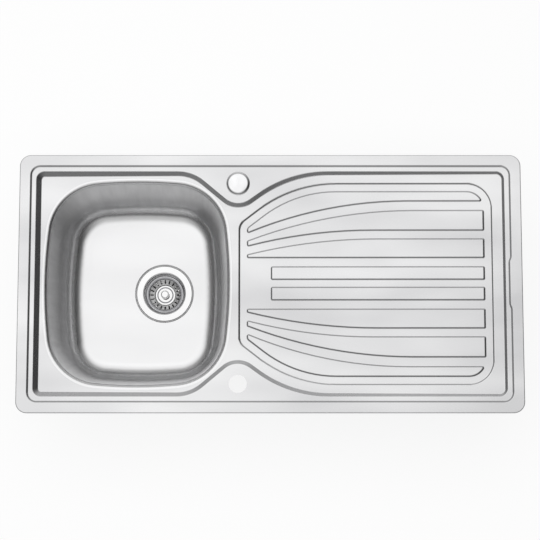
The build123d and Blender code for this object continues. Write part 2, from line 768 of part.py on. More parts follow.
with BuildPart() as waste_cup:
    with BuildSketch(waste_section):
        with BuildLine():
            FilletPolyline(
                (CUP_FLANGE_RADIUS, cup_flange_z),
                (CUP_MOUTH_RADIUS, cup_flange_z),
                (CUP_NECK_RADIUS, cup_flange_z - CUP_NECK_DEPTH),
                (CUP_LEDGE_OUTER_RADIUS, cup_ledge_z),
                (CUP_WELL_RADIUS, cup_ledge_z),
                (CUP_WELL_RADIUS, cup_bottom_z),
                (0, cup_bottom_z),
                radius=CUP_BEND_RADIUS,
            )
            offset(amount=CUP_WALL, side=Side.RIGHT)
        make_face()
    revolve(axis=waste_axis)
    with BuildSketch(waste_plane.offset(cup_bottom_z)):
        with PolarLocations(CUP_DRAIN_CIRCLE_RADIUS, CUP_DRAIN_COUNT):
            Circle(CUP_DRAIN_RADIUS)
        Circle(SCREW_RADIUS + SCREW_CLEARANCE)
    extrude(amount=CUP_WALL, mode=Mode.SUBTRACT)
export(waste_cup.part, "waste_cup")

with BuildPart() as waste_body:
    with BuildSketch(waste_section):
        with BuildLine():
            Polyline(
                (BODY_INNER_RADIUS, body_top_z),
                (BODY_FLANGE_RADIUS, body_top_z),
                (BODY_FLANGE_RADIUS, body_top_z - BODY_FLANGE_THICKNESS),
                (BODY_INNER_RADIUS + BODY_WALL, body_top_z - BODY_FLANGE_THICKNESS),
                (BODY_INNER_RADIUS + BODY_WALL, outlet_top_z),
                (OUTLET_RADIUS, outlet_top_z),
                (OUTLET_RADIUS, outlet_top_z - OUTLET_LENGTH),
                (outlet_bore, outlet_top_z - OUTLET_LENGTH),
                (outlet_bore, body_floor_z),
                (BODY_INNER_RADIUS, body_floor_z),
                close=True,
            )
        make_face()
    revolve(axis=waste_axis)
    with BuildSketch(waste_plane.offset(body_floor_z)):
        with PolarLocations(outlet_bore / 2, SPOKE_COUNT):
            Rectangle(outlet_bore + OUTLET_WALL / 2, SPOKE_THICKNESS)
    extrude(amount=cup_bottom_z - HUB_DEPTH - body_floor_z)
    with BuildSketch(waste_plane.offset(cup_bottom_z)):
        Circle(HUB_RADIUS)
    extrude(amount=-HUB_DEPTH)
    with BuildSketch(waste_plane.offset(cup_bottom_z)):
        Circle(SCREW_RADIUS + SCREW_CLEARANCE)
    extrude(amount=-HUB_DEPTH, mode=Mode.SUBTRACT)
    with BuildSketch(waste_plane.offset(cup_bottom_z - HUB_DEPTH)):
        Circle(INSERT_RADIUS + FIT_GAP)
    extrude(amount=INSERT_LENGTH, mode=Mode.SUBTRACT)
export(waste_body.part, "waste_body")

insert_top_z = cup_bottom_z - HUB_DEPTH + INSERT_LENGTH
export(
    ring(insert_top_z, INSERT_LENGTH, SCREW_RADIUS + FIT_GAP, INSERT_RADIUS),
    "waste_insert",
)

screw_head_z = cup_bottom_z + CUP_WALL
with BuildPart() as waste_screw:
    with BuildSketch(waste_plane.offset(screw_head_z)):
        Circle(SCREW_HEAD_RADIUS)
    extrude(amount=SCREW_HEAD_HEIGHT)
    fillet(waste_screw.edges().group_by(Axis.Z)[-1], SCREW_HEAD_HEIGHT / 2)
    with BuildSketch(waste_plane.offset(screw_head_z + SCREW_HEAD_HEIGHT)):
        Rectangle(SCREW_SLOT_LENGTH, SCREW_SLOT_WIDTH)
        Rectangle(SCREW_SLOT_WIDTH, SCREW_SLOT_LENGTH)
    extrude(amount=-SCREW_HEAD_HEIGHT / 2, mode=Mode.SUBTRACT)
    with BuildSketch(waste_plane.offset(screw_head_z)):
        Circle(SCREW_RADIUS)
    extrude(amount=cup_bottom_z - HUB_DEPTH - screw_head_z)
export(waste_screw.part, "waste_screw")


# Strainer basket and stopper ----------------------------------------------------------------

basket_rim_z = cup_ledge_z + CUP_WALL + REST_GAP
basket_bottom_z = basket_rim_z - BASKET_DEPTH
disc_top_z = cup_flange_z + CUP_WALL - DISC_DEPTH
seal_bottom_z = cup_bottom_z + CUP_WALL + REST_GAP
plate_top_z = seal_bottom_z + STOPPER_SEAL_THICKNESS + STOPPER_PLATE_THICKNESS

with BuildPart() as strainer_basket:
    with BuildSketch(waste_section):
        with BuildLine():
            FilletPolyline(
                (BASKET_RIM_RADIUS, basket_rim_z),
                (BASKET_TOP_RADIUS, basket_rim_z),
                (BASKET_STEP_RADIUS, basket_rim_z - BASKET_STEP_DEPTH),
                (BASKET_SUMP_RADIUS, basket_bottom_z + BASKET_SUMP_DEPTH),
                (BASKET_SUMP_RADIUS, basket_bottom_z),
                (STEM_RADIUS + RUNNING_CLEARANCE, basket_bottom_z),
                radius=BASKET_BEND_RADIUS,
            )
            offset(amount=BASKET_WALL, side=Side.RIGHT)
        make_face()
    revolve(axis=waste_axis)
    with BuildSketch(waste_plane.offset(basket_bottom_z)):
        with PolarLocations((SLOT_INNER_RADIUS + SLOT_OUTER_RADIUS) / 2, SLOT_COUNT):
            SlotOverall(SLOT_OUTER_RADIUS - SLOT_INNER_RADIUS, SLOT_WIDTH)
        with PolarLocations(BASKET_DRAIN_CIRCLE_RADIUS, BASKET_DRAIN_COUNT):
            Circle(BASKET_DRAIN_RADIUS)
    extrude(amount=BASKET_DEPTH, mode=Mode.SUBTRACT)
export(strainer_basket.part, "strainer_basket")

with BuildPart() as stopper_disc:
    with BuildSketch(waste_plane.offset(disc_top_z)):
        Circle(DISC_RADIUS)
    extrude(amount=-DISC_THICKNESS)
    chamfer(stopper_disc.edges().group_by(Axis.Z)[-1], DISC_THICKNESS / 2)
    with BuildSketch(waste_plane.offset(disc_top_z)):
        Circle(DISC_RING_RADIUS)
        Circle(DISC_RING_RADIUS - DISC_RING_WIDTH, mode=Mode.SUBTRACT)
    extrude(amount=DISC_RING_HEIGHT)
    fillet(stopper_disc.edges().group_by(Axis.Z)[-1], DISC_RING_ROUNDING)
export(stopper_disc.part, "stopper_disc")

with BuildPart() as stopper_knob:
    with BuildSketch(waste_plane.offset(disc_top_z)):
        Circle(KNOB_NECK_RADIUS)
    extrude(amount=KNOB_NECK_HEIGHT)
    with BuildSketch(waste_plane.offset(disc_top_z + KNOB_NECK_HEIGHT)):
        Circle(KNOB_RADIUS)
    extrude(amount=KNOB_HEIGHT)
    fillet(stopper_knob.edges().group_by(Axis.Z)[-1], KNOB_ROUNDING)
export(stopper_knob.part, "stopper_knob")

export(rod(disc_top_z - DISC_THICKNESS, plate_top_z, STEM_RADIUS), "stopper_stem")
export(
    rod(plate_top_z, plate_top_z - STOPPER_PLATE_THICKNESS, STOPPER_PLATE_RADIUS),
    "stopper_plate",
)
export(
    ring(
        plate_top_z - STOPPER_PLATE_THICKNESS,
        STOPPER_SEAL_THICKNESS,
        STOPPER_SEAL_BORE,
        STOPPER_SEAL_RADIUS,
    ),
    "stopper_seal",
)


# Blanking cap in the back tap hole ----------------------------------------------------------

cap_plane = Plane(origin=(tap_x, tap_y, ledge_z))
cap_section = Plane(origin=cap_plane.origin, x_dir=(1, 0, 0), z_dir=(0, -1, 0))
cap_axis = Axis(cap_plane.origin, (0, 0, 1))
cap_inner_radius = CAP_RADIUS - CAP_SKIRT_WIDTH

with BuildPart() as hole_cap:
    with BuildSketch(cap_section):
        with BuildLine():
            # A shallow crown has fallen by a quarter of its whole fall halfway out.
            crown = ThreePointArc(
                (0, CAP_HEIGHT),
                (CAP_CROWN_RADIUS / 2, CAP_HEIGHT - CAP_CROWN_FALL / 4),
                (CAP_CROWN_RADIUS, CAP_HEIGHT - CAP_CROWN_FALL),
            )
            shoulder = TangentArc(
                crown @ 1, (CAP_RADIUS, CAP_EDGE_HEIGHT), tangent=crown % 1
            )
            Polyline(
                shoulder @ 1,
                (CAP_RADIUS, CAP_SKIRT_GAP),
                (cap_inner_radius, CAP_SKIRT_GAP),
                (cap_inner_radius, CAP_GASKET_THICKNESS),
                (CAP_GASKET_INNER_RADIUS - CAP_WALL, CAP_GASKET_THICKNESS),
                (CAP_GASKET_INNER_RADIUS - CAP_WALL, CAP_EDGE_HEIGHT),
                (CAP_BOSS_RADIUS, CAP_HEIGHT - 2 * CAP_WALL),
                (CAP_BOSS_RADIUS, 0),
                (0, 0),
                crown @ 0,
            )
        make_face()
    revolve(axis=cap_axis)
    with BuildSketch(cap_plane):
        Circle(CAP_STUD_RADIUS + FIT_GAP)
    extrude(amount=CAP_STUD_ENGAGEMENT, mode=Mode.SUBTRACT)
export(hole_cap.part, "hole_cap")

with BuildPart() as cap_stud:
    with BuildSketch(cap_plane.offset(CAP_STUD_ENGAGEMENT)):
        Circle(CAP_STUD_RADIUS)
    extrude(amount=-CAP_STUD_LENGTH)
export(cap_stud.part, "cap_stud")

with BuildPart() as cap_gasket:
    with BuildSketch(cap_plane):
        Circle(CAP_GASKET_OUTER_RADIUS)
        Circle(CAP_GASKET_INNER_RADIUS, mode=Mode.SUBTRACT)
    extrude(amount=CAP_GASKET_THICKNESS)
export(cap_gasket.part, "cap_gasket")

with BuildPart() as cap_washer:
    with BuildSketch(cap_plane.offset(-SHEET)):
        Circle(CAP_WASHER_RADIUS)
        Circle(CAP_STUD_RADIUS + CLIP_HOLE_CLEARANCE, mode=Mode.SUBTRACT)
    extrude(amount=-CAP_WASHER_THICKNESS)
export(cap_washer.part, "cap_washer")

cap_nut = wing_nut(
    (tap_x, tap_y, ledge_underside_z - CAP_WASHER_THICKNESS - REST_GAP),
    CAP_NUT_RADIUS,
    CAP_NUT_HEIGHT,
    CAP_STUD_RADIUS + RUNNING_CLEARANCE,
)
export(cap_nut, "cap_nut")


# Sound-damping pads -------------------------------------------------------------------------

bowl_pad_right_x = waste_x - WASTE_SEAT_RADIUS - WASTE_SEAT_DEPTH - BOWL_PAD_WASTE_GAP
with BuildPart() as bowl_pad:
    with BuildSketch(Plane.XY.offset(-BOWL_FLOOR_DEPTH - SHEET)):
        with Locations((bowl_pad_right_x - BOWL_PAD_LENGTH / 2, 0)):
            RectangleRounded(BOWL_PAD_LENGTH, BOWL_PAD_DEPTH, PAD_CORNER_RADIUS)
    extrude(amount=-PAD_THICKNESS)
export(bowl_pad.part, "bowl_pad")

with BuildPart() as drainer_pad:
    with BuildSketch(drainer_plane.offset(-SHEET)):
        with Locations(((drainer_left_x + drainer_right_x) / 2, 0)):
            RectangleRounded(DRAINER_PAD_LENGTH, DRAINER_PAD_DEPTH, PAD_CORNER_RADIUS)
    extrude(amount=-PAD_THICKNESS)
export(drainer_pad.part, "drainer_pad")
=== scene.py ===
"""Dressed scene of an inset kitchen sink with one bowl and a drainer.

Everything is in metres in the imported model's frame: the origin is the middle of the rim at
worktop level, +X runs from the bowl to the drainer, +Y from front to back, +Z up. The sizes of
new pieces are written in millimetres, as on a drawing, and turned to metres in their mesh.
"""

import logging
import math
from collections.abc import Sequence
from dataclasses import astuple, dataclass
from enum import Enum
from functools import cache

import bmesh
import bpy
import numpy as np
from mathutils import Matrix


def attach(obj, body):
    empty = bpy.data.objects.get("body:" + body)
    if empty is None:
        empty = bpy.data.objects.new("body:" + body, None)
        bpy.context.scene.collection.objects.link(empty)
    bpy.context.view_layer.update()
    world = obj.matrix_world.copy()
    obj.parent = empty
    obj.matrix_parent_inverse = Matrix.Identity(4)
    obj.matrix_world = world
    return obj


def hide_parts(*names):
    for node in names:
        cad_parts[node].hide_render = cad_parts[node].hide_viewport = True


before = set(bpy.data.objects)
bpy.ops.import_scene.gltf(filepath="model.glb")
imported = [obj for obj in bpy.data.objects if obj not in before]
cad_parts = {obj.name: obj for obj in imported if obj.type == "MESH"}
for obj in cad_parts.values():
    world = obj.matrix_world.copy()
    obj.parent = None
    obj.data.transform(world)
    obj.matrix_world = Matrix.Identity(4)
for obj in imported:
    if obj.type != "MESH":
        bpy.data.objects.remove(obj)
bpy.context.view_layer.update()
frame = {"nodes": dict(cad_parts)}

PHOTO_SIDE = 540
MM = 0.001
MERGE_DISTANCE = 1.0e-7
SCRATCH_DEPTH = 0.00001
NOISE_RANGE = (0.3, 0.7)
UNDER_RANGE = (-0.01, -0.06)
STEEP_RANGE = (0.97, 0.45)
ROLLED_SCALE = (0.45, 1.4, 1.0)
STREAK_SCALE = 0.16
GRAIN_ROUGHNESS = 0.65
DUST_SCALE = 38.0
RING_POINTS = 9
WHITE = (1.0, 1.0, 1.0, 1.0)
LEAST_WEIGHT = 0.001
Pair = tuple[float, float]
Triple = tuple[float, float, float]
Colour = Triple
Ring = tuple[float, float, float, float, float]
Material = bpy.types.Material
Tree = bpy.types.NodeTree
Socket = bpy.types.NodeSocket
Source = Socket | float | Colour
LOG = logging.getLogger("sink")


class Brushing(Enum):
    """The way in which a metal's fine scratches run, as how far noise is squeezed on X, Y, Z."""

    ALONG_LENGTH = (6.0, 420.0, 420.0)
    UPRIGHT = (420.0, 420.0, 3.0)
    EVEN = (160.0, 160.0, 160.0)


# Surfaces ----------------------------------------


@dataclass(frozen=True)
class Surface:
    """A grid of points in millimetres, whose rows run back into their start.

    Where rows_close is true, the last row also runs back into the first.
    """

    points: np.ndarray
    rows_close: bool = False

    def faces(self) -> np.ndarray:
        """Number each face's corners: a face lies between two rows and two columns.

        Returns:
            Four corner numbers for each face.
        """
        rows, columns = self.points.shape[:2]
        number = np.arange(rows * columns).reshape(rows, columns)
        if self.rows_close:
            number = np.concatenate([number, number[:1]], axis=0)
        number = np.concatenate([number, number[:, :1]], axis=1)
        corners = [number[:-1, :-1], number[1:, :-1], number[1:, 1:], number[:-1, 1:]]
        return np.stack(corners, axis=-1).reshape(-1, 4)


def placed(name: str, data: bpy.types.ID) -> bpy.types.Object:
    """Make an object and put it into the scene.

    Args:
        name: its name.
        data: its mesh, camera or lamp.

    Returns:
        The object, at the origin.
    """
    made = bpy.data.objects.new(name, data)
    bpy.context.scene.collection.objects.link(made)
    return made


@dataclass(frozen=True)
class Piece:
    """A new piece's name, its finish's slot (not used), the nodes it stands for and the body it
    rides.
    """

    name: str
    slot: str
    stands_for: tuple[str, ...] = ()
    body: str = "sink"
    crease_degrees: float = 35.0

    def build(self, surfaces: list[Surface], material: Material) -> None:
        """Make the piece from its surfaces, with its seams and poles closed.

        Args:
            surfaces: the closed shells that make it up.
            material: its finish.
        """
        points = np.concatenate([surface.points.reshape(-1, 3) for surface in surfaces]) * MM
        counts = [surface.points.shape[0] * surface.points.shape[1] for surface in surfaces]
        starts = np.cumsum([0, *counts[:-1]])
        faces = np.concatenate([one.faces() + start for one, start in zip(surfaces, starts)])
        mesh = bpy.data.meshes.new(self.name)
        mesh.from_pydata(points.tolist(), [], faces.tolist())
        work = bmesh.new()
        work.from_mesh(mesh)
        bmesh.ops.remove_doubles(work, verts=work.verts, dist=MERGE_DISTANCE)
        bmesh.ops.recalc_face_normals(work, faces=work.faces)
        work.to_mesh(mesh)
        work.free()
        mesh.shade_smooth()
        mesh.set_sharp_from_angle(angle=math.radians(self.crease_degrees))
        mesh.materials.append(material)
        made = placed(self.name, mesh)
        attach(made, self.body)
        if self.stands_for:
            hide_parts(*self.stands_for)
        LOG.info("built %s with %d faces in %s", self.name, len(mesh.polygons), material.name)


def about(centre: Pair, radius: np.ndarray, angle: np.ndarray, height: np.ndarray) -> np.ndarray:
    """Points about an upright axis, at (x + r cos a, y + r sin a, z).

    Args:
        centre: the axis's place.
        radius: each point's distance from it.
        angle: each point's angle round it.
        height: each point's or each row's height.

    Returns:
        The points.
    """
    across = centre[0] + radius * np.cos(angle)
    along = centre[1] + radius * np.sin(angle)
    return np.stack([across, along, np.broadcast_to(height, across.shape)], axis=-1)


def turned(profile: Sequence[Pair], centre: Pair = (0.0, 0.0), sides: int = 72,
           closes: bool = False) -> Surface:
    """Turn a profile about an upright axis, in even steps of one side each.

    Args:
        profile: radius and height of each row.
        centre: the axis's place.
        sides: number of points round.
        closes: whether the last row runs back into the first, as on a ring.

    Returns:
        The turned surface.
    """
    angle = np.linspace(0.0, 2.0 * math.pi, sides, endpoint=False)
    rows = np.array(profile)
    return Surface(about(centre, rows[:, :1], angle, rows[:, 1:]), rows_close=closes)


def squeezed_ring(inner: float, outer: float, low: float, high: float, bulge: float) -> list[Pair]:
    """The section of a flat ring pressed between two faces, whose free edges swell.

    They follow r + bulge sin(pi t), where t runs from 0 to 1 over the thickness.

    Args:
        inner: inner radius at the faces.
        outer: outer radius at the faces.
        low: height of the lower face.
        high: height of the upper face.
        bulge: how far each free edge swells.

    Returns:
        Radius and height of each point, in order round the section.
    """
    share = np.linspace(0.0, 1.0, RING_POINTS)
    height = low + (high - low) * share
    swell = bulge * np.sin(math.pi * share)
    outside = np.stack([outer + swell, height], axis=-1)
    inside = np.stack([inner - swell, height], axis=-1)[::-1]
    return [tuple(point) for point in np.concatenate([outside, inside])]


@dataclass(frozen=True)
class ThreadedRod:
    """A rod with a rolled thread, a chamfered lower end, a plain neck and perhaps a collar."""

    root: float
    crest: float
    pitch: float
    low: float
    thread_top: float
    top: float
    collar: Pair = (0.0, 0.0)
    chamfer: float = 0.6
    collar_chamfer: float = 0.3
    neck_start: float = 0.4
    crest_width: float = 1.5
    rows_per_pitch: int = 5
    sides: int = 18

    def surface(self, centre: Pair) -> Surface:
        """Give the rod's surface.

        The radius at height z and angle a is root + (crest - root) * fade * ridge. The ridge is
        a flat-topped wave of z / pitch - a / turn, and the fade runs from 0 to 1 over the
        thread's first pitch and back to 0 over its last.

        Args:
            centre: the rod's axis.

        Returns:
            The rod's closed surface.
        """
        start = self.low + self.chamfer
        count = int((self.thread_top - start) / self.pitch * self.rows_per_pitch)
        thread = np.linspace(start, self.thread_top, count)
        fade = np.clip(np.minimum(thread - start, self.thread_top - thread) / self.pitch, 0.0, 1.0)
        neck = 0.5 * (self.root + self.crest)
        flange, thickness = self.collar
        head = [(self.top, neck, 0.0)]
        if flange:
            under, bevel = self.top - thickness, self.collar_chamfer
            head = [(under, neck, 0.0), (under, flange - bevel, 0.0), (under + bevel, flange, 0.0),
                    (self.top, flange, 0.0)]
        rows = np.concatenate([
            np.array([(self.low, 0.0, 0.0), (self.low, self.root - self.chamfer, 0.0)]),
            np.stack([thread, np.full(count, self.root), fade], axis=-1),
            np.array([(self.thread_top + self.neck_start, neck, 0.0), *head, (self.top, 0.0, 0.0)]),
        ])
        angle = np.linspace(0.0, 2.0 * math.pi, self.sides, endpoint=False)
        height, base, share = rows[:, :1], rows[:, 1:2], rows[:, 2:]
        phase = np.mod(height / self.pitch - angle / (2.0 * math.pi), 1.0)
        ridge = np.clip(self.crest_width * (1.0 - np.abs(2.0 * phase - 1.0)), 0.0, 1.0)
        radius = base + (self.crest - self.root) * share * ridge
        return Surface(about(centre, radius, angle, height))


@dataclass(frozen=True)
class RoundedFrame:
    """A rounded rectangle about a centre, along which a section is carried."""

    half_length: float
    half_depth: float
    radius: float
    centre: Pair = (0.0, 0.0)
    steps: int = 10

    def carried(self, inset: np.ndarray, height: np.ndarray) -> np.ndarray:
        """Carry a section round the rectangle.

        Point (i, j) is corner_i + (radius - inset_j) * outward_i at height_j, where outward_i
        turns through each corner in even steps and the straight runs lie between two corners.

        Args:
            inset: how far each point of the section lies inside the outline.
            height: each point's height.

        Returns:
            Points, with the rectangle's points as rows and the section's as columns.
        """
        quarter = np.linspace(0.0, 0.5 * math.pi, self.steps)
        angle = (quarter[None, :] + 0.5 * math.pi * np.arange(4)[:, None]).ravel()
        signs = np.array([(1.0, 1.0), (-1.0, 1.0), (-1.0, -1.0), (1.0, -1.0)])
        half = np.array([self.half_length, self.half_depth]) - self.radius
        corner = np.repeat(signs * half, self.steps, axis=0) + np.array(self.centre)
        outward = np.stack([np.cos(angle), np.sin(angle)], axis=-1)
        flat = corner[:, None, :] + outward[:, None, :] * (self.radius - inset)[None, :, None]
        level = np.broadcast_to(height, flat.shape[:2])
        return np.concatenate([flat, level[..., None]], axis=-1)


# Shader nodes ----------------------------------------


class Wiring:
    """A node tree, and the few ways in which this script joins its nodes."""

    def __init__(self, tree: Tree) -> None:
        """Keep the tree's nodes and links at hand."""
        self.nodes, self.links = tree.nodes, tree.links

    def feed(self, target: Socket, source: Source) -> None:
        """Link a socket to what carries its value or colour, or set that value or colour.

        Args:
            target: the socket.
            source: a socket, a value or a colour.
        """
        if isinstance(source, tuple):
            target.default_value = (*source, 1.0)
        elif isinstance(source, float):
            target.default_value = source
        else:
            self.links.new(source, target)

    def scaled(self, place: Socket, scale: Triple) -> Socket:
        """Squeeze coordinates by a factor on each axis.

        Args:
            place: what carries the coordinates.
            scale: the factors.

        Returns:
            The socket that carries the result.
        """
        squeeze = self.nodes.new("ShaderNodeMapping")
        squeeze.inputs["Scale"].default_value = scale
        self.links.new(place, squeeze.inputs["Vector"])
        return squeeze.outputs["Vector"]

    def noise(self, place: Socket, scale: Source, detail: float, roughness: float = 0.5) -> Socket:
        """Place a noise.

        Args:
            place: the coordinates that it reads.
            scale: its scale.
            detail: how many finer layers it has.
            roughness: how strong the finer layers are.

        Returns:
            The socket that carries it.
        """
        node = self.nodes.new("ShaderNodeTexNoise")
        for label, source in (("Vector", place), ("Scale", scale), ("Detail", detail),
                              ("Roughness", roughness)):
            self.feed(node.inputs[label], source)
        return node.outputs["Fac"]

    def computed(self, operation: str, first: Source, second: Source = 0.0) -> Socket:
        """Join two values by one operation.

        Args:
            operation: the operation's name in the node.
            first: the first value.
            second: the second value, where the operation takes two.

        Returns:
            The socket that carries the result.
        """
        node = self.nodes.new("ShaderNodeMath")
        node.operation = operation
        self.feed(node.inputs[0], first)
        self.feed(node.inputs[1], second)
        return node.outputs["Value"]

    def ranged(self, value: Socket, over: Pair, to: Pair = (0.0, 1.0),
               smooth: bool = False) -> Socket:
        """Carry a value from one range over to another.

        Args:
            value: the value.
            over: the two ends of its range.
            to: what the two ends become.
            smooth: whether it eases in and out.

        Returns:
            The socket that carries the result.
        """
        node = self.nodes.new("ShaderNodeMapRange")
        node.interpolation_type = "SMOOTHSTEP" if smooth else "LINEAR"
        for label, number in zip(("From Min", "From Max", "To Min", "To Max"), (*over, *to)):
            node.inputs[label].default_value = number
        self.links.new(value, node.inputs["Value"])
        return node.outputs["Result"]

    def _blended(self, kind: str, sockets: tuple[int, int, int], share: Source, low: Source,
                 high: Source) -> Socket:
        """Mix two values or two colours by a share.

        Args:
            kind: the mix node's data type.
            sockets: the numbers of its two inputs and of its output for that type.
            share: 0 for the first, 1 for the second.
            low: the first.
            high: the second.

        Returns:
            The socket that carries the mix.
        """
        mix = self.nodes.new("ShaderNodeMix")
        mix.data_type = kind
        for index, source in zip((0, *sockets), (share, low, high)):
            self.feed(mix.inputs[index], source)
        return mix.outputs[sockets[2]]

    def between(self, share: Source, low: Source, high: Source) -> Socket:
        """Mix two colours by a share, which is 0 for the first and 1 for the second."""
        return self._blended("RGBA", (6, 7, 2), share, low, high)

    def mixed(self, share: Source, low: Source, high: Source) -> Socket:
        """Mix two values by a share, which is 0 for the first and 1 for the second."""
        return self._blended("FLOAT", (2, 3, 0), share, low, high)


def new_group(name: str, inputs: dict[str, float], outputs: list[str]) -> Tree:
    """Make an empty shader group with a Vector input and named value sockets.

    Args:
        name: the group's name.
        inputs: value inputs with their defaults.
        outputs: names of the value outputs.

    Returns:
        The group, which holds its Group Input and Group Output nodes.
    """
    group = bpy.data.node_groups.new(name, "ShaderNodeTree")
    group.interface.new_socket("Vector", in_out="INPUT", socket_type="NodeSocketVector")
    for label, value in inputs.items():
        socket = group.interface.new_socket(label, in_out="INPUT", socket_type="NodeSocketFloat")
        socket.default_value = value
    for label in outputs:
        group.interface.new_socket(label, in_out="OUTPUT", socket_type="NodeSocketFloat")
    group.nodes.new("NodeGroupInput")
    group.nodes.new("NodeGroupOutput")
    return group


@cache
def brushed_grain() -> Tree:
    """Fine scratches, wider streaks along them, and slow clouds drawn out along X.

    Inputs are squeezed object coordinates and the clouds' scale; the outputs run from 0 to 1.

    Returns:
        The group.
    """
    group = new_group("brushed_grain", {"Cloud Scale": 5.0}, ["Scratch", "Streak", "Cloud"])
    wires = Wiring(group)
    given, out = group.nodes["Group Input"].outputs, group.nodes["Group Output"].inputs
    place = group.nodes.new("ShaderNodeTexCoord").outputs["Object"]
    rolled = wires.scaled(place, ROLLED_SCALE)
    wires.feed(out["Scratch"], wires.noise(given["Vector"], 1.0, 3.0, GRAIN_ROUGHNESS))
    wires.feed(out["Streak"], wires.noise(given["Vector"], STREAK_SCALE, 2.0, GRAIN_ROUGHNESS))
    wires.feed(out["Cloud"], wires.noise(rolled, given["Cloud Scale"], 2.0))
    return group


@cache
def speckle() -> Tree:
    """The fine pits and pale dust of moulded rubber and plastic.

    Inputs are object coordinates and the pits' scale; the outputs run from 0 to 1.

    Returns:
        The group.
    """
    group = new_group("speckle", {"Scale": 900.0}, ["Pits", "Dust"])
    wires = Wiring(group)
    given, out = group.nodes["Group Input"].outputs, group.nodes["Group Output"].inputs
    pits = group.nodes.new("ShaderNodeTexVoronoi")
    wires.feed(pits.inputs["Vector"], given["Vector"])
    wires.feed(pits.inputs["Scale"], given["Scale"])
    wires.feed(out["Pits"], pits.outputs["Distance"])
    wires.feed(out["Dust"], wires.noise(given["Vector"], DUST_SCALE, 6.0))
    return group


@cache
def facing() -> Tree:
    """Which way a pressed sheet's surface faces.

    The input is the surface's direction; outputs are Under, 1 where it faces down, and Steep,
    1 where it is a wall.

    Returns:
        The group.
    """
    group = new_group("facing", {}, ["Under", "Steep"])
    wires = Wiring(group)
    given, out = group.nodes["Group Input"].outputs, group.nodes["Group Output"].inputs
    split = group.nodes.new("ShaderNodeSeparateXYZ")
    wires.feed(split.inputs["Vector"], given["Vector"])
    size = wires.computed("ABSOLUTE", split.outputs["Z"])
    wires.feed(out["Under"], wires.ranged(split.outputs["Z"], UNDER_RANGE))
    wires.feed(out["Steep"], wires.ranged(size, STEEP_RANGE))
    return group


class Shading(Wiring):
    """A new material's nodes, and the ways in which the finishes join them."""

    def __init__(self, name: str) -> None:
        """Make the material.

        Args:
            name: its name.
        """
        self.material = bpy.data.materials.new(name)
        self.material.use_nodes = True
        super().__init__(self.material.node_tree)
        self.shader = self.nodes["Principled BSDF"]
        self.place = self.nodes.new("ShaderNodeTexCoord").outputs

    def group(self, tree: Tree, vector: Socket) -> bpy.types.Node:
        """Place a shader group and feed its Vector.

        Args:
            tree: the group.
            vector: what its Vector reads.

        Returns:
            The placed node.
        """
        node = self.nodes.new("ShaderNodeGroup")
        node.node_tree = tree
        self.links.new(vector, node.inputs["Vector"])
        return node

    def brushed(self, way: Brushing) -> bpy.types.Node:
        """Place the brushed grain, squeezed in the way in which its scratches run."""
        return self.group(brushed_grain(), self.scaled(self.place["Object"], way.value))

    def spread(self, noise: Socket, low: float = 0.0, high: float = 1.0) -> Socket:
        """Stretch a noise, which lies mostly in NOISE_RANGE, from a low to a high value."""
        return self.ranged(noise, NOISE_RANGE, (low, high))

    def varied(self, noise: Socket, middle: float, change: float) -> Socket:
        """Let a noise move a value up and down about its middle."""
        return self.spread(noise, middle - change, middle + change)

    def finish(self, tone: Socket, gloss: Socket, height: Socket, strength: float,
               distance: float) -> Material:
        """Feed the shader's colour and roughness, and raise the surface by a height.

        Args:
            tone: the colour.
            gloss: the roughness.
            height: the height, 0 to 1.
            strength: the relief's strength.
            distance: what a height of 1 stands for, in metres.

        Returns:
            The finished material.
        """
        bump = self.nodes.new("ShaderNodeBump")
        bump.inputs["Strength"].default_value = strength
        bump.inputs["Distance"].default_value = distance
        self.links.new(height, bump.inputs["Height"])
        self.links.new(bump.outputs["Normal"], self.shader.inputs["Normal"])
        self.links.new(tone, self.shader.inputs["Base Color"])
        self.links.new(gloss, self.shader.inputs["Roughness"])
        return self.material


# Finishes ----------------------------------------


@dataclass(frozen=True)
class SheetFinish:
    """Pressed stainless sheet: brushed face, walls with drawn streaks, dull mill finish below."""

    name: str
    colour: Colour = (0.90, 0.90, 0.905)
    worn: Colour = (0.83, 0.83, 0.84)
    # A wall colour far darker than the face's, as the deck's, paints shade on the steep faces.
    wall: Colour = (0.89, 0.89, 0.895)
    mill: Colour = (0.60, 0.605, 0.615)
    roughness: float = 0.24
    wall_roughness: float = 0.32
    mill_roughness: float = 0.44
    flat_brushing: Brushing = Brushing.ALONG_LENGTH
    wall_brushing: Brushing = Brushing.UPRIGHT
    gloss_change: float = 0.03
    wall_change: float = 0.02
    wall_scratch: Pair = (0.46, 0.54)
    scratch_strength: float = 0.25
    cloud_scale: float = 6.0
    streak_share: float = 0.91

    def material(self) -> Material:
        """Build the finish.

        Returns:
            The material.
        """
        look = Shading(self.name)
        look.shader.inputs["Metallic"].default_value = 1.0
        way = look.group(facing(), look.place["Normal"])
        steep, under = way.outputs["Steep"], way.outputs["Under"]
        flat, wall = look.brushed(self.flat_brushing), look.brushed(self.wall_brushing)
        flat.inputs["Cloud Scale"].default_value = self.cloud_scale
        drawn = look.spread(wall.outputs["Scratch"], *self.wall_scratch)
        scratch = look.mixed(steep, flat.outputs["Scratch"], drawn)
        face = look.between(look.spread(flat.outputs["Cloud"]), self.colour, self.worn)
        streaked = tuple(self.streak_share * part for part in self.wall)
        # On the deck this wall tone is painted shade, about half as bright as the face.
        streaked_wall_and_shade = look.between(look.spread(wall.outputs["Streak"]), self.wall, streaked)
        tone = look.between(under, look.between(steep, face, streaked_wall_and_shade), self.mill)
        face_gloss = look.varied(flat.outputs["Cloud"], self.roughness, self.gloss_change)
        wall_gloss = look.varied(wall.outputs["Streak"], self.wall_roughness, self.wall_change)
        gloss = look.mixed(under, look.mixed(steep, face_gloss, wall_gloss), self.mill_roughness)
        return look.finish(tone, gloss, scratch, self.scratch_strength, SCRATCH_DEPTH)


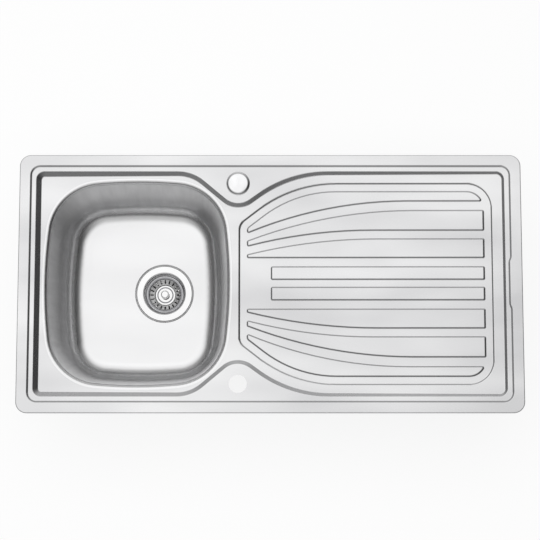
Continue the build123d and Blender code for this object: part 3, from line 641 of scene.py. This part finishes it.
@dataclass(frozen=True)
class MetalFinish:
    """A metal with fine scratches one way and clouds of slightly different gloss."""

    name: str
    colour: Colour
    roughness: float
    brushing: Brushing = Brushing.ALONG_LENGTH
    worn_share: float = 0.94
    scratch_strength: float = 0.25
    gloss_change: float = 0.04
    cloud_scale: float = 30.0

    def material(self) -> Material:
        """Build the finish.

        Returns:
            The material.
        """
        look = Shading(self.name)
        look.shader.inputs["Metallic"].default_value = 1.0
        grain = look.brushed(self.brushing)
        grain.inputs["Cloud Scale"].default_value = self.cloud_scale
        worn = tuple(self.worn_share * part for part in self.colour)
        tone = look.between(look.spread(grain.outputs["Streak"]), worn, self.colour)
        gloss = look.varied(grain.outputs["Cloud"], self.roughness, self.gloss_change)
        return look.finish(tone, gloss, grain.outputs["Scratch"], self.scratch_strength,
                           SCRATCH_DEPTH)


@dataclass(frozen=True)
class RingedFinish:
    """Pressed steel with fine rings about an upright axis, and a dark ringed band round it, which
    is painted shade.
    """

    name: str
    axis: Pair
    colour: Colour = (0.90, 0.90, 0.90)
    # The band's dark colour is painted shade.
    painted_shade: Colour = (0.24, 0.24, 0.25)
    band: Pair = (31.6, 60.0)
    band_fade: float = 0.8
    roughness: float = 0.2
    ring_scale: float = 320.0
    ring_height: float = 0.00006
    ring_strength: float = 0.6
    ring_gain: float = 1.9
    gloss_change: float = 0.03

    def material(self) -> Material:
        """Build the finish: the band of painted shade lies between two distances from the axis.

        Returns:
            The material.
        """
        look = Shading(self.name)
        look.shader.inputs["Metallic"].default_value = 1.0
        centred = look.nodes.new("ShaderNodeMapping")
        centred.inputs["Location"].default_value = (-self.axis[0] * MM, -self.axis[1] * MM, 0.0)
        look.links.new(look.place["Object"], centred.inputs["Vector"])
        flat = look.nodes.new("ShaderNodeVectorMath")
        flat.operation = "MULTIPLY"
        flat.inputs[1].default_value = (1.0, 1.0, 0.0)
        look.links.new(centred.outputs["Vector"], flat.inputs[0])
        away = look.nodes.new("ShaderNodeVectorMath")
        away.operation = "LENGTH"
        look.links.new(flat.outputs["Vector"], away.inputs[0])
        edges = [look.ranged(away.outputs["Value"], (edge * MM, (edge + fade) * MM))
                 for edge, fade in zip(self.band, (self.band_fade, -self.band_fade))]
        band = look.computed("MULTIPLY", *edges)
        rings = look.nodes.new("ShaderNodeTexWave")
        rings.wave_type = "RINGS"
        rings.rings_direction = "Z"
        rings.inputs["Scale"].default_value = self.ring_scale
        rings.inputs["Distortion"].default_value = 0.0
        look.links.new(flat.outputs["Vector"], rings.inputs["Vector"])
        grain = look.brushed(Brushing.EVEN)
        # Inside the band, painted shade: dark rings whose crests are lighter by ring_gain.
        crest = tuple(self.ring_gain * part for part in self.painted_shade)
        dull = look.between(rings.outputs["Fac"], self.painted_shade, crest)
        tone = look.between(band, self.colour, dull)
        gloss = look.varied(grain.outputs["Cloud"], self.roughness, self.gloss_change)
        height = look.mixed(band, grain.outputs["Scratch"], rings.outputs["Fac"])
        return look.finish(tone, gloss, height, self.ring_strength, self.ring_height)


@dataclass(frozen=True)
class MouldedFinish:
    """Moulded rubber or plastic with fine pits and a little pale dust."""

    name: str
    colour: Colour
    dusty: Colour
    roughness: float
    pit_scale: float = 900.0
    pit_height: float = 0.00004
    pit_strength: float = 0.5
    dust_gloss: Pair = (-0.05, 0.08)
    specular: float = 0.4

    def material(self) -> Material:
        """Build the finish.

        Returns:
            The material.
        """
        look = Shading(self.name)
        look.shader.inputs["Specular IOR Level"].default_value = self.specular
        grain = look.group(speckle(), look.place["Object"])
        grain.inputs["Scale"].default_value = self.pit_scale
        pits, dust = grain.outputs["Pits"], grain.outputs["Dust"]
        tone = look.between(look.spread(dust), self.colour, self.dusty)
        gloss = look.spread(dust, *(self.roughness + change for change in self.dust_gloss))
        return look.finish(tone, gloss, pits, self.pit_strength, self.pit_height)


@dataclass(frozen=True)
class EmbossedFinish:
    """A filled bitumen sheet rolled with a square waffle and dusted with mineral fines."""

    name: str
    colour: Colour = (0.035, 0.035, 0.036)
    dusty: Colour = (0.10, 0.10, 0.098)
    roughness: float = 0.74
    gloss_change: float = 0.1
    specular: float = 0.3
    pit_scale: float = 700.0
    dust_share: float = 0.8
    waffle_scale: float = 40.0
    waffle_share: float = 0.7
    waffle_height: float = 0.0005
    waffle_strength: float = 0.8

    def material(self) -> Material:
        """Build the finish: the waffle's height is the product of a wave along X and one along Y.

        Returns:
            The material.
        """
        look = Shading(self.name)
        look.shader.inputs["Specular IOR Level"].default_value = self.specular
        grain = look.group(speckle(), look.place["Object"])
        grain.inputs["Scale"].default_value = self.pit_scale
        pits, dust = grain.outputs["Pits"], grain.outputs["Dust"]
        waves = []
        for way in ("X", "Y"):
            wave = look.nodes.new("ShaderNodeTexWave")
            wave.bands_direction = way
            wave.inputs["Scale"].default_value = self.waffle_scale
            look.links.new(look.place["Object"], wave.inputs["Vector"])
            waves.append(wave.outputs["Fac"])
        waffle = look.computed("MULTIPLY", *waves)
        worn = look.mixed(waffle, look.spread(dust, 0.0, self.dust_share), 0.0)
        tone = look.between(worn, self.colour, self.dusty)
        gloss = look.varied(dust, self.roughness, self.gloss_change)
        height = look.mixed(pits, waffle, self.waffle_share)
        return look.finish(tone, gloss, height, self.waffle_strength, self.waffle_height)


def dress(material: Material, *nodes: str) -> None:
    """Give CAD nodes a finish in every material slot.

    Args:
        material: the finish.
        nodes: the nodes' names.
    """
    for node in nodes:
        mesh = frame["nodes"][node].data
        if not mesh.materials:
            mesh.materials.append(material)
        for index in range(len(mesh.materials)):
            mesh.materials[index] = material
        LOG.info("dressed %s with %s", node, material.name)


# Sub-assemblies ----------------------------------------


@dataclass
class PressedSheet:
    """The deck and the drawn bowl, in brushed steel."""

    # The deck's wall colour, about half its face's, is painted shade on the rim edge, steps and
    # panel slopes.
    deck: SheetFinish = SheetFinish(
        "deck_steel", (0.86, 0.86, 0.865), (0.69, 0.69, 0.70), (0.44, 0.44, 0.45))
    bowl: SheetFinish = SheetFinish("bowl_steel", (0.91, 0.91, 0.915), (0.87, 0.87, 0.875))

    def build(self) -> None:
        """Dress both."""
        dress(self.deck.material(), "deck")
        dress(self.bowl.material(), "bowl")


@dataclass
class RimSeal:
    """The extruded rubber seal under the rim, with three lobes that the worktop flattens."""

    rubber: MouldedFinish = MouldedFinish(
        "seal_rubber_black", (0.025, 0.025, 0.026), (0.05, 0.05, 0.05), 0.62)
    outline: RoundedFrame = RoundedFrame(492.5, 254.0, 22.0, steps=14)
    outer_inset: float = 2.5
    inner_inset: float = 9.5
    height: float = 3.6
    lobes: int = 3
    lobe_points: int = 31
    side_points: int = 7
    lobe_depth: float = 0.9
    waist: float = 0.35

    def section(self) -> tuple[np.ndarray, np.ndarray]:
        """Give the seal's section.

        Below, the height is lobe_depth (1 - |sin(lobes pi u)|) over the share u of the width.
        The sides draw in by waist sin(pi v) over the share v of the height, and the top is flat.

        Returns:
            Inset and height of each point, in order round the section.
        """
        low = np.linspace(0.0, 1.0, self.lobe_points)
        width = self.inner_inset - self.outer_inset
        inset = [self.outer_inset + width * low]
        level = [self.lobe_depth * (1.0 - np.abs(np.sin(self.lobes * math.pi * low)))]
        side = np.linspace(0.0, 1.0, self.side_points)[1:]
        draw = self.waist * np.sin(math.pi * side)
        rise = self.lobe_depth + (self.height - self.lobe_depth) * side
        inset += [self.inner_inset - draw, (self.outer_inset + draw)[::-1]]
        level += [rise, rise[::-1]]
        return np.concatenate(inset), np.concatenate(level)

    def build(self) -> None:
        """Carry the section round the rim."""
        points = self.outline.carried(*self.section())
        seal = Surface(points, rows_close=True)
        Piece("lobed_rim_seal", "seal_strip", ("rim_seal",)).build([seal], self.rubber.material())


@dataclass
class Fixings:
    """The rails, studs and clips under the rim."""

    rail: MetalFinish = MetalFinish("rail_steel", (0.58, 0.59, 0.60), 0.38)
    zinc: MetalFinish = MetalFinish("zinc_plate", (0.70, 0.71, 0.68), 0.34, Brushing.EVEN, 0.8)
    spring: MetalFinish = MetalFinish("spring_steel", (0.56, 0.57, 0.58), 0.36, Brushing.EVEN, 0.85)
    weld: MetalFinish = MetalFinish("weld_steel", (0.46, 0.44, 0.42), 0.45, Brushing.EVEN, 0.7)
    stud: ThreadedRod = ThreadedRod(2.55, 3.0, 1.0, -62.8, -4.0, 0.2, collar=(5.0, 1.5))
    stud_places: tuple[Pair, ...] = (
        (-330.0, -229.5), (20.0, -229.5), (330.0, -229.5), (468.0, 0.0),
        (330.0, 229.5), (20.0, 229.5), (-330.0, 229.5), (-468.0, 0.0),
    )
    rail_lines: Pair = (468.0, 229.5)
    weld_pitch: float = 60.0
    weld_radius: float = 2.6
    nugget: tuple[Pair, ...] = ((0.0, -0.02), (0.5, -0.1), (0.9, -0.12), (1.0, 0.1), (0.0, 0.2))
    channel_top: float = 0.2
    clip_count: int = 8

    def weld_places(self) -> list[Pair]:
        """Spot welds along the four rails, clear of the studs.

        Returns:
            Their places.
        """
        along_length = self.weld_pitch * np.arange(-7, 8)
        along_depth = self.weld_pitch * np.array([-3, -2, -1, 1, 2, 3])
        right, back = self.rail_lines
        places = [(float(x), side * back) for side in (-1.0, 1.0) for x in along_length]
        return places + [(side * right, float(y)) for side in (-1.0, 1.0) for y in along_depth]

    def build(self) -> None:
        """Dress the CAD pieces and build the threaded studs and the spot welds."""
        zinc = self.zinc.material()
        numbers = range(1, self.clip_count + 1)
        dress(self.rail.material(), "rail_front", "rail_back", "rail_left", "rail_right")
        dress(zinc, *(f"clip_nut_{number}" for number in numbers))
        dress(self.spring.material(), *(f"clip_arm_{number}" for number in numbers))
        studs = [self.stud.surface(place) for place in self.stud_places]
        Piece("threaded_studs", "zinc_steel", ("clip_studs",)).build(studs, zinc)
        nugget = [(self.weld_radius * out, self.channel_top + rise) for out, rise in self.nugget]
        welds = [turned(nugget, place, sides=12) for place in self.weld_places()]
        Piece("spot_welds", "rail_steel").build(welds, self.weld.material())


@dataclass
class Waste:
    """The basket strainer waste with its strainer and stopper."""

    centre: Pair = (-219.0, 0.0)
    polished: MetalFinish = MetalFinish(
        "polished_steel", (0.93, 0.93, 0.93), 0.10, Brushing.EVEN, 0.98)
    # Painted shade: a dark band from 31.6 mm to 60 mm about the axis, on the basket's mouth outside
    # its slots.
    pressed: RingedFinish = RingedFinish("pressed_steel_painted_shade", (-219.0, 0.0), (0.93, 0.93, 0.93))
    # Painted shade: a dark ring from 14.4 mm to 17.4 mm about the axis, on the stopper disc.
    ringed: RingedFinish = RingedFinish(
        "ringed_steel_painted_shade", (-219.0, 0.0), (0.92, 0.92, 0.92), (0.16, 0.16, 0.17), (14.4, 17.4),
        roughness=0.1)
    steel: MetalFinish = MetalFinish("turned_steel", (0.74, 0.74, 0.75), 0.28, Brushing.UPRIGHT)
    brass: MetalFinish = MetalFinish("turned_brass", (0.80, 0.62, 0.30), 0.3, Brushing.UPRIGHT, 0.8)
    plastic: MouldedFinish = MouldedFinish(
        "white_polypropylene", (0.80, 0.80, 0.78), (0.74, 0.74, 0.71), 0.42)
    rubber: MouldedFinish = MouldedFinish(
        "gasket_rubber", (0.022, 0.022, 0.023), (0.04, 0.04, 0.04), 0.55)
    # A real gasket whose black edge reaches past the flange's edge into the gap, as painted shade
    # round the flange.
    flange_seal_and_shade_line: Ring = (46.0, 57.3, -162.5, -161.5, 0.5)
    lower_ring: Ring = (46.4, 57.0, -165.4, -163.4, 0.8)
    lip_section: tuple[Pair, ...] = (
        (12.0, -204.7), (24.0, -204.7), (25.2, -205.0), (26.9, -204.9), (27.5, -205.5),
        (27.1, -206.0), (25.6, -206.2), (25.4, -206.9), (26.6, -207.2), (27.0, -207.8),
        (26.4, -208.2), (24.8, -208.1), (23.6, -208.7), (13.0, -208.7), (12.0, -207.9),
    )
    thread_radius: float = 23.9
    thread_height: float = 0.95
    thread_pitch: float = 2.309
    thread_low: float = -246.0
    thread_turns: int = 9
    thread_steps: int = 40

    def outlet_thread(self) -> Surface:
        """Give the raised thread on the outlet, as a section carried along a helix.

        The helix's point at angle a is (r cos a, r sin a, low + pitch a / turn). The section is a
        trapezium whose height fades over the first and last half turn.

        Returns:
            The thread's closed surface.
        """
        count = self.thread_turns * self.thread_steps + 1
        angle = np.linspace(0.0, 2.0 * math.pi * self.thread_turns, count)
        fade = np.clip(np.minimum(angle, angle[-1] - angle) / math.pi, 0.0, 1.0)[:, None]
        out = np.array([-0.4, 0.0, 1.0, 1.0, 0.0, -0.4]) * self.thread_height
        side = np.array([-0.36, -0.36, -0.12, 0.12, 0.36, 0.36]) * self.thread_pitch
        radius = self.thread_radius + np.where(out > 0.0, out * fade, out)
        angle = angle[:, None]
        height = self.thread_low + self.thread_pitch * angle / (2.0 * math.pi) + side * fade
        return Surface(about(self.centre, radius, angle, height))

    def seals(self) -> None:
        """Build the two squeezed gaskets and the stopper's lipped seal."""
        rubber = self.rubber.material()
        # The flange gasket's black edge, out past the flange, is painted shade in the gap round it.
        for name, node, ring in (("flange_seal_ring", "flange_gasket", self.flange_seal_and_shade_line),
                                 ("lower_seal_ring", "waste_gasket", self.lower_ring)):
            section = turned(squeezed_ring(*ring), self.centre, 96, closes=True)
            Piece(name, "gasket_rubber", (node,)).build([section], rubber)
        seal = Piece("stopper_lip_seal", "seal_rubber", ("stopper_seal",), body="stopper")
        seal.build([turned(self.lip_section, self.centre, closes=True)], rubber)

    def build(self) -> None:
        """Dress the CAD pieces and build the seals and the outlet's thread."""
        plastic = self.plastic.material()
        dress(self.polished.material(), "waste_cup", "stopper_knob")
        # The ringed finish paints shade as a dark ring on the stopper disc.
        dress(self.ringed.material(), "stopper_disc")
        # The pressed finish paints shade as a dark band on the basket's mouth.
        dress(self.pressed.material(), "strainer_basket")
        dress(self.steel.material(), "waste_screw", "stopper_stem", "stopper_plate")
        dress(self.brass.material(), "waste_insert")
        dress(plastic, "waste_body")
        self.seals()
        Piece("outlet_thread", "pipe_plastic").build([self.outlet_thread()], plastic)


@dataclass
class HoleCap:
    """The blanking cap in the back tap hole."""

    centre: Pair = (-63.0, 197.0)
    chrome: MetalFinish = MetalFinish(
        "cap_chrome", (0.90, 0.90, 0.91), 0.08, Brushing.EVEN, 0.99, 0.05)
    zinc: MetalFinish = MetalFinish("cap_zinc", (0.70, 0.71, 0.68), 0.34, Brushing.EVEN, 0.8)
    nylon: MouldedFinish = MouldedFinish(
        "black_nylon", (0.035, 0.035, 0.037), (0.06, 0.06, 0.06), 0.4)
    rubber: MouldedFinish = MouldedFinish(
        "cap_rubber", (0.022, 0.022, 0.023), (0.04, 0.04, 0.04), 0.55)
    ring: Ring = (18.5, 21.0, 2.3, 3.3, 0.4)
    stud: ThreadedRod = ThreadedRod(3.4, 4.0, 1.25, -32.7, 0.5, 5.3, sides=24)

    def build(self) -> None:
        """Dress the CAD pieces and build the threaded stud and the gasket."""
        zinc = self.zinc.material()
        dress(self.chrome.material(), "hole_cap")
        dress(zinc, "cap_washer")
        dress(self.nylon.material(), "cap_nut")
        stud = self.stud.surface(self.centre)
        Piece("threaded_cap_stud", "zinc_steel", ("cap_stud",)).build([stud], zinc)
        seal = Piece("cap_seal_ring", "gasket_rubber", ("cap_gasket",))
        ring = turned(squeezed_ring(*self.ring), self.centre, closes=True)
        seal.build([ring], self.rubber.material())


@dataclass(frozen=True)
class DampingPad:
    """A bitumen sheet stuck under the steel, with rounded corners and a slightly uneven face."""

    name: str
    stands_for: str
    frame: RoundedFrame
    top: float
    slope: float = 0.0
    thickness: float = 2.5
    roll: float = 0.9
    unevenness: float = 0.2156
    wave_run: Pair = (17.0, 23.0)
    shrink: tuple[float, ...] = (0.0, 0.25, 0.5, 0.75, 0.9)
    edge_points: int = 6

    def surface(self) -> Surface:
        """Give the sheet's surface, as rings that shrink from the edge to the middle.

        The edge is square against the steel and rolls over below by a quarter ellipse. On the
        lower face the height gains unevenness times the product of a sine along X and one along Y.

        Returns:
            The sheet's closed surface.
        """
        quarter = np.linspace(0.0, 0.5 * math.pi, self.edge_points)
        edge_inset = np.concatenate([[0.0], self.roll * (1.0 - np.cos(quarter))])
        edge_height = np.concatenate([[0.0], -0.5 * self.thickness * (1.0 + np.sin(quarter))])
        edge = self.frame.carried(edge_inset, edge_height).transpose(1, 0, 2)
        middle = np.array([*self.frame.centre, 0.0])
        shares = np.ones((len(self.shrink), 1, 3))
        shares[..., :2] = np.array(self.shrink)[:, None, None]
        above = middle + (edge[:1] - middle) * shares
        below = middle + (edge[-1:] - middle) * shares[::-1]
        points = np.concatenate([above, edge, below])
        wave = np.prod(np.sin(points[..., :2] / self.wave_run), axis=-1)
        lower = np.clip(-points[..., 2] / self.thickness, 0.0, 1.0) ** 4
        points[..., 2] += self.unevenness * lower * (0.5 + 0.5 * wave)
        points[..., 2] += self.top + self.slope * points[..., 0]
        return Surface(points)

    def build(self, material: Material) -> None:
        """Build the sheet.

        Args:
            material: its finish.
        """
        Piece(self.name, "damping_pad", (self.stands_for,)).build([self.surface()], material)


@dataclass
class Damping:
    """The two bitumen sheets, under the bowl and under the drainer."""

    bitumen: EmbossedFinish = EmbossedFinish("bitumen_sheet")
    bowl: DampingPad = DampingPad(
        "bowl_damping_sheet", "bowl_pad", RoundedFrame(38.0, 120.0, 12.0, (-328.0, 0.0)), -160.9)
    drainer: DampingPad = DampingPad(
        "drainer_damping_sheet", "drainer_pad", RoundedFrame(150.0, 130.0, 12.0, (187.0, 0.0)),
        -6.5, 0.00413)

    def build(self) -> None:
        """Build both."""
        bitumen = self.bitumen.material()
        self.bowl.build(bitumen)
        self.drainer.build(bitumen)


# Studio ----------------------------------------


@dataclass(frozen=True)
class WallGreys:
    """How bright the room's four walls are, in the order in which the room weighs them."""

    right: float
    left: float
    front: float
    back: float


@dataclass
class Studio:
    """Camera, soft light, floor and the room that the metal mirrors."""

    distance: float = 2.6
    tilt_degrees: float = 6.147
    sensor_width: float = 36.0
    metres_per_pixel: float = 0.00194556
    aim: Pair = (-0.00044, -0.08044)
    shift: float = 0.10
    floor_z: float = -0.2492
    floor_half: float = 6.0
    floor_colour: Colour = (0.9, 0.9, 0.9)
    overhead_centre: Triple = (-0.11, 0.22, 0.97)
    overhead_fade: Pair = (0.72, 1.0)
    overhead: float = 1.05
    walls: WallGreys = WallGreys(0.07, 0.24, 0.56, 0.66)
    band: WallGreys = WallGreys(0.03, 0.12, 0.09, 0.38)
    band_below: Pair = (0.22, 0.42)
    band_above: Pair = (0.52, 0.78)
    drift: float = 0.16
    drift_scale: float = 4.5
    fill_power: float = 60.0
    fill_height: float = 2.6
    fill_size: float = 3.0
    fill_place: Pair = (-0.4, 0.3)
    floor_glow: float = 0.86

    def camera(self) -> None:
        """Put the camera over the front edge, looking down a little towards the back."""
        tilt = math.radians(self.tilt_degrees)
        data = bpy.data.cameras.new("camera")
        data.sensor_width = self.sensor_width
        data.lens = data.sensor_width * self.distance / (PHOTO_SIDE * self.metres_per_pixel)
        data.shift_y = self.shift
        data.clip_end = 60.0
        camera = placed("camera", data)
        back, up = self.distance * math.sin(tilt), self.distance * math.cos(tilt)
        camera.location = (self.aim[0], self.aim[1] - back, up)
        camera.rotation_euler = (tilt, 0.0, 0.0)
        bpy.context.scene.camera = camera

    def floor(self) -> None:
        """A pale floor that the camera and the metal see as nearly white, with a soft shadow."""
        half = self.floor_half
        mesh = bpy.data.meshes.new("floor")
        corners = [(x, y, self.floor_z)
                   for x, y in ((-half, -half), (half, -half), (half, half), (-half, half))]
        mesh.from_pydata(corners, [], [(0, 1, 2, 3)])
        floor = placed("floor", mesh)
        material = bpy.data.materials.new("floor_white")
        material.use_nodes = True
        wires = Wiring(material.node_tree)
        shader = wires.nodes["Principled BSDF"]
        wires.feed(shader.inputs["Base Color"], self.floor_colour)
        shader.inputs["Roughness"].default_value = 0.8
        shader.inputs["Specular IOR Level"].default_value = 0.0
        path = wires.nodes.new("ShaderNodeLightPath")
        rays = (path.outputs["Is Camera Ray"], path.outputs["Is Glossy Ray"])
        seen = wires.computed("MAXIMUM", *rays)
        white = wires.nodes.new("ShaderNodeEmission")
        white.inputs["Color"].default_value = WHITE
        mix = wires.nodes.new("ShaderNodeMixShader")
        wires.feed(mix.inputs["Fac"], wires.computed("MULTIPLY", seen, self.floor_glow))
        wires.feed(mix.inputs[1], shader.outputs["BSDF"])
        wires.feed(mix.inputs[2], white.outputs["Emission"])
        wires.feed(wires.nodes["Material Output"].inputs["Surface"], mix.outputs["Shader"])
        mesh.materials.append(material)

    def room(self) -> None:
        """Light from the room: a white ceiling that falls off to walls of four different greys.

        A direction's grey is the four walls' greys, weighted by how far it points to each, with
        greys of their own in a band half way up, and mixed with the ceiling's white by how far
        it points up. That white drifts a little from place to place, and the camera itself sees
        plain white.
        """
        world = bpy.data.worlds.new("studio")
        bpy.context.scene.world = world
        world.use_nodes = True
        wires = Wiring(world.node_tree)
        background = wires.nodes["Background"]
        place = wires.nodes.new("ShaderNodeTexCoord").outputs["Generated"]
        split = wires.nodes.new("ShaderNodeSeparateXYZ")
        wires.feed(split.inputs["Vector"], place)

        def weight(axis: str, sign: float) -> Socket:
            """The square of how far the direction points to a wall.

            Args:
                axis: the wall's axis.
                sign: 1 for the wall at its positive end, -1 for the other.

            Returns:
                The socket that carries it.
            """
            toward = wires.computed("MULTIPLY", split.outputs[axis], sign)
            toward = wires.computed("MAXIMUM", toward, 0.0)
            return wires.computed("MULTIPLY", toward, toward)

        def total(parts: list[Socket]) -> Socket:
            """The sum of four values."""
            first, second = wires.computed("ADD", *parts[:2]), wires.computed("ADD", *parts[2:])
            return wires.computed("ADD", first, second)

        weights = [weight("X", 1.0), weight("X", -1.0), weight("Y", -1.0), weight("Y", 1.0)]
        level = wires.computed("MAXIMUM", total(weights), LEAST_WEIGHT)

        def around(greys: WallGreys) -> Socket:
            """The four walls' greys, weighted by how far the direction points to each.

            Args:
                greys: the walls' greys.

            Returns:
                The socket that carries the sum.
            """
            pairs = zip(weights, astuple(greys))
            parts = [wires.computed("MULTIPLY", one, grey) for one, grey in pairs]
            return wires.computed("DIVIDE", total(parts), level)

        below = wires.ranged(split.outputs["Z"], self.band_below, (1.0, 0.0), smooth=True)
        above = wires.ranged(split.outputs["Z"], self.band_above, smooth=True)
        outside = wires.computed("MAXIMUM", below, above)
        banded = wires.mixed(outside, around(self.band), around(self.walls))
        toward = wires.nodes.new("ShaderNodeVectorMath")
        toward.operation = "DOT_PRODUCT"
        toward.inputs[1].default_value = self.overhead_centre
        wires.feed(toward.inputs[0], place)
        up = wires.ranged(toward.outputs["Value"], self.overhead_fade, smooth=True)
        noise = wires.noise(place, self.drift_scale, 1.0)
        drifting = wires.computed("MULTIPLY", noise, 2.0 * self.drift)
        ceiling = wires.computed("ADD", drifting, self.overhead - self.drift)
        path = wires.nodes.new("ShaderNodeLightPath")
        seen = wires.computed(
            "MAXIMUM", path.outputs["Is Camera Ray"], wires.mixed(up, banded, ceiling))
        wires.feed(background.inputs["Strength"], seen)
        background.inputs["Color"].default_value = WHITE

    def fill(self) -> None:
        """A large soft lamp overhead, for what isn't metal; the metal doesn't mirror it."""
        data = bpy.data.lights.new("fill", "AREA")
        data.shape = "SQUARE"
        data.size = self.fill_size
        data.energy = self.fill_power
        lamp = placed("fill", data)
        lamp.location = (*self.fill_place, self.fill_height)
        lamp.visible_glossy = False

    def build(self) -> None:
        """Set up the whole studio and plain colour handling."""
        bpy.context.scene.view_settings.view_transform = "Standard"
        self.camera()
        self.floor()
        self.room()
        self.fill()
        LOG.info("studio built")


def main() -> None:
    """Build the scene, one sub-assembly after another."""
    logging.basicConfig(level=logging.INFO, format="%(name)s: %(message)s")
    PressedSheet().build()
    RimSeal().build()
    Fixings().build()
    Waste().build()
    HoleCap().build()
    Damping().build()
    Studio().build()


if __name__ == "__main__":
    main()
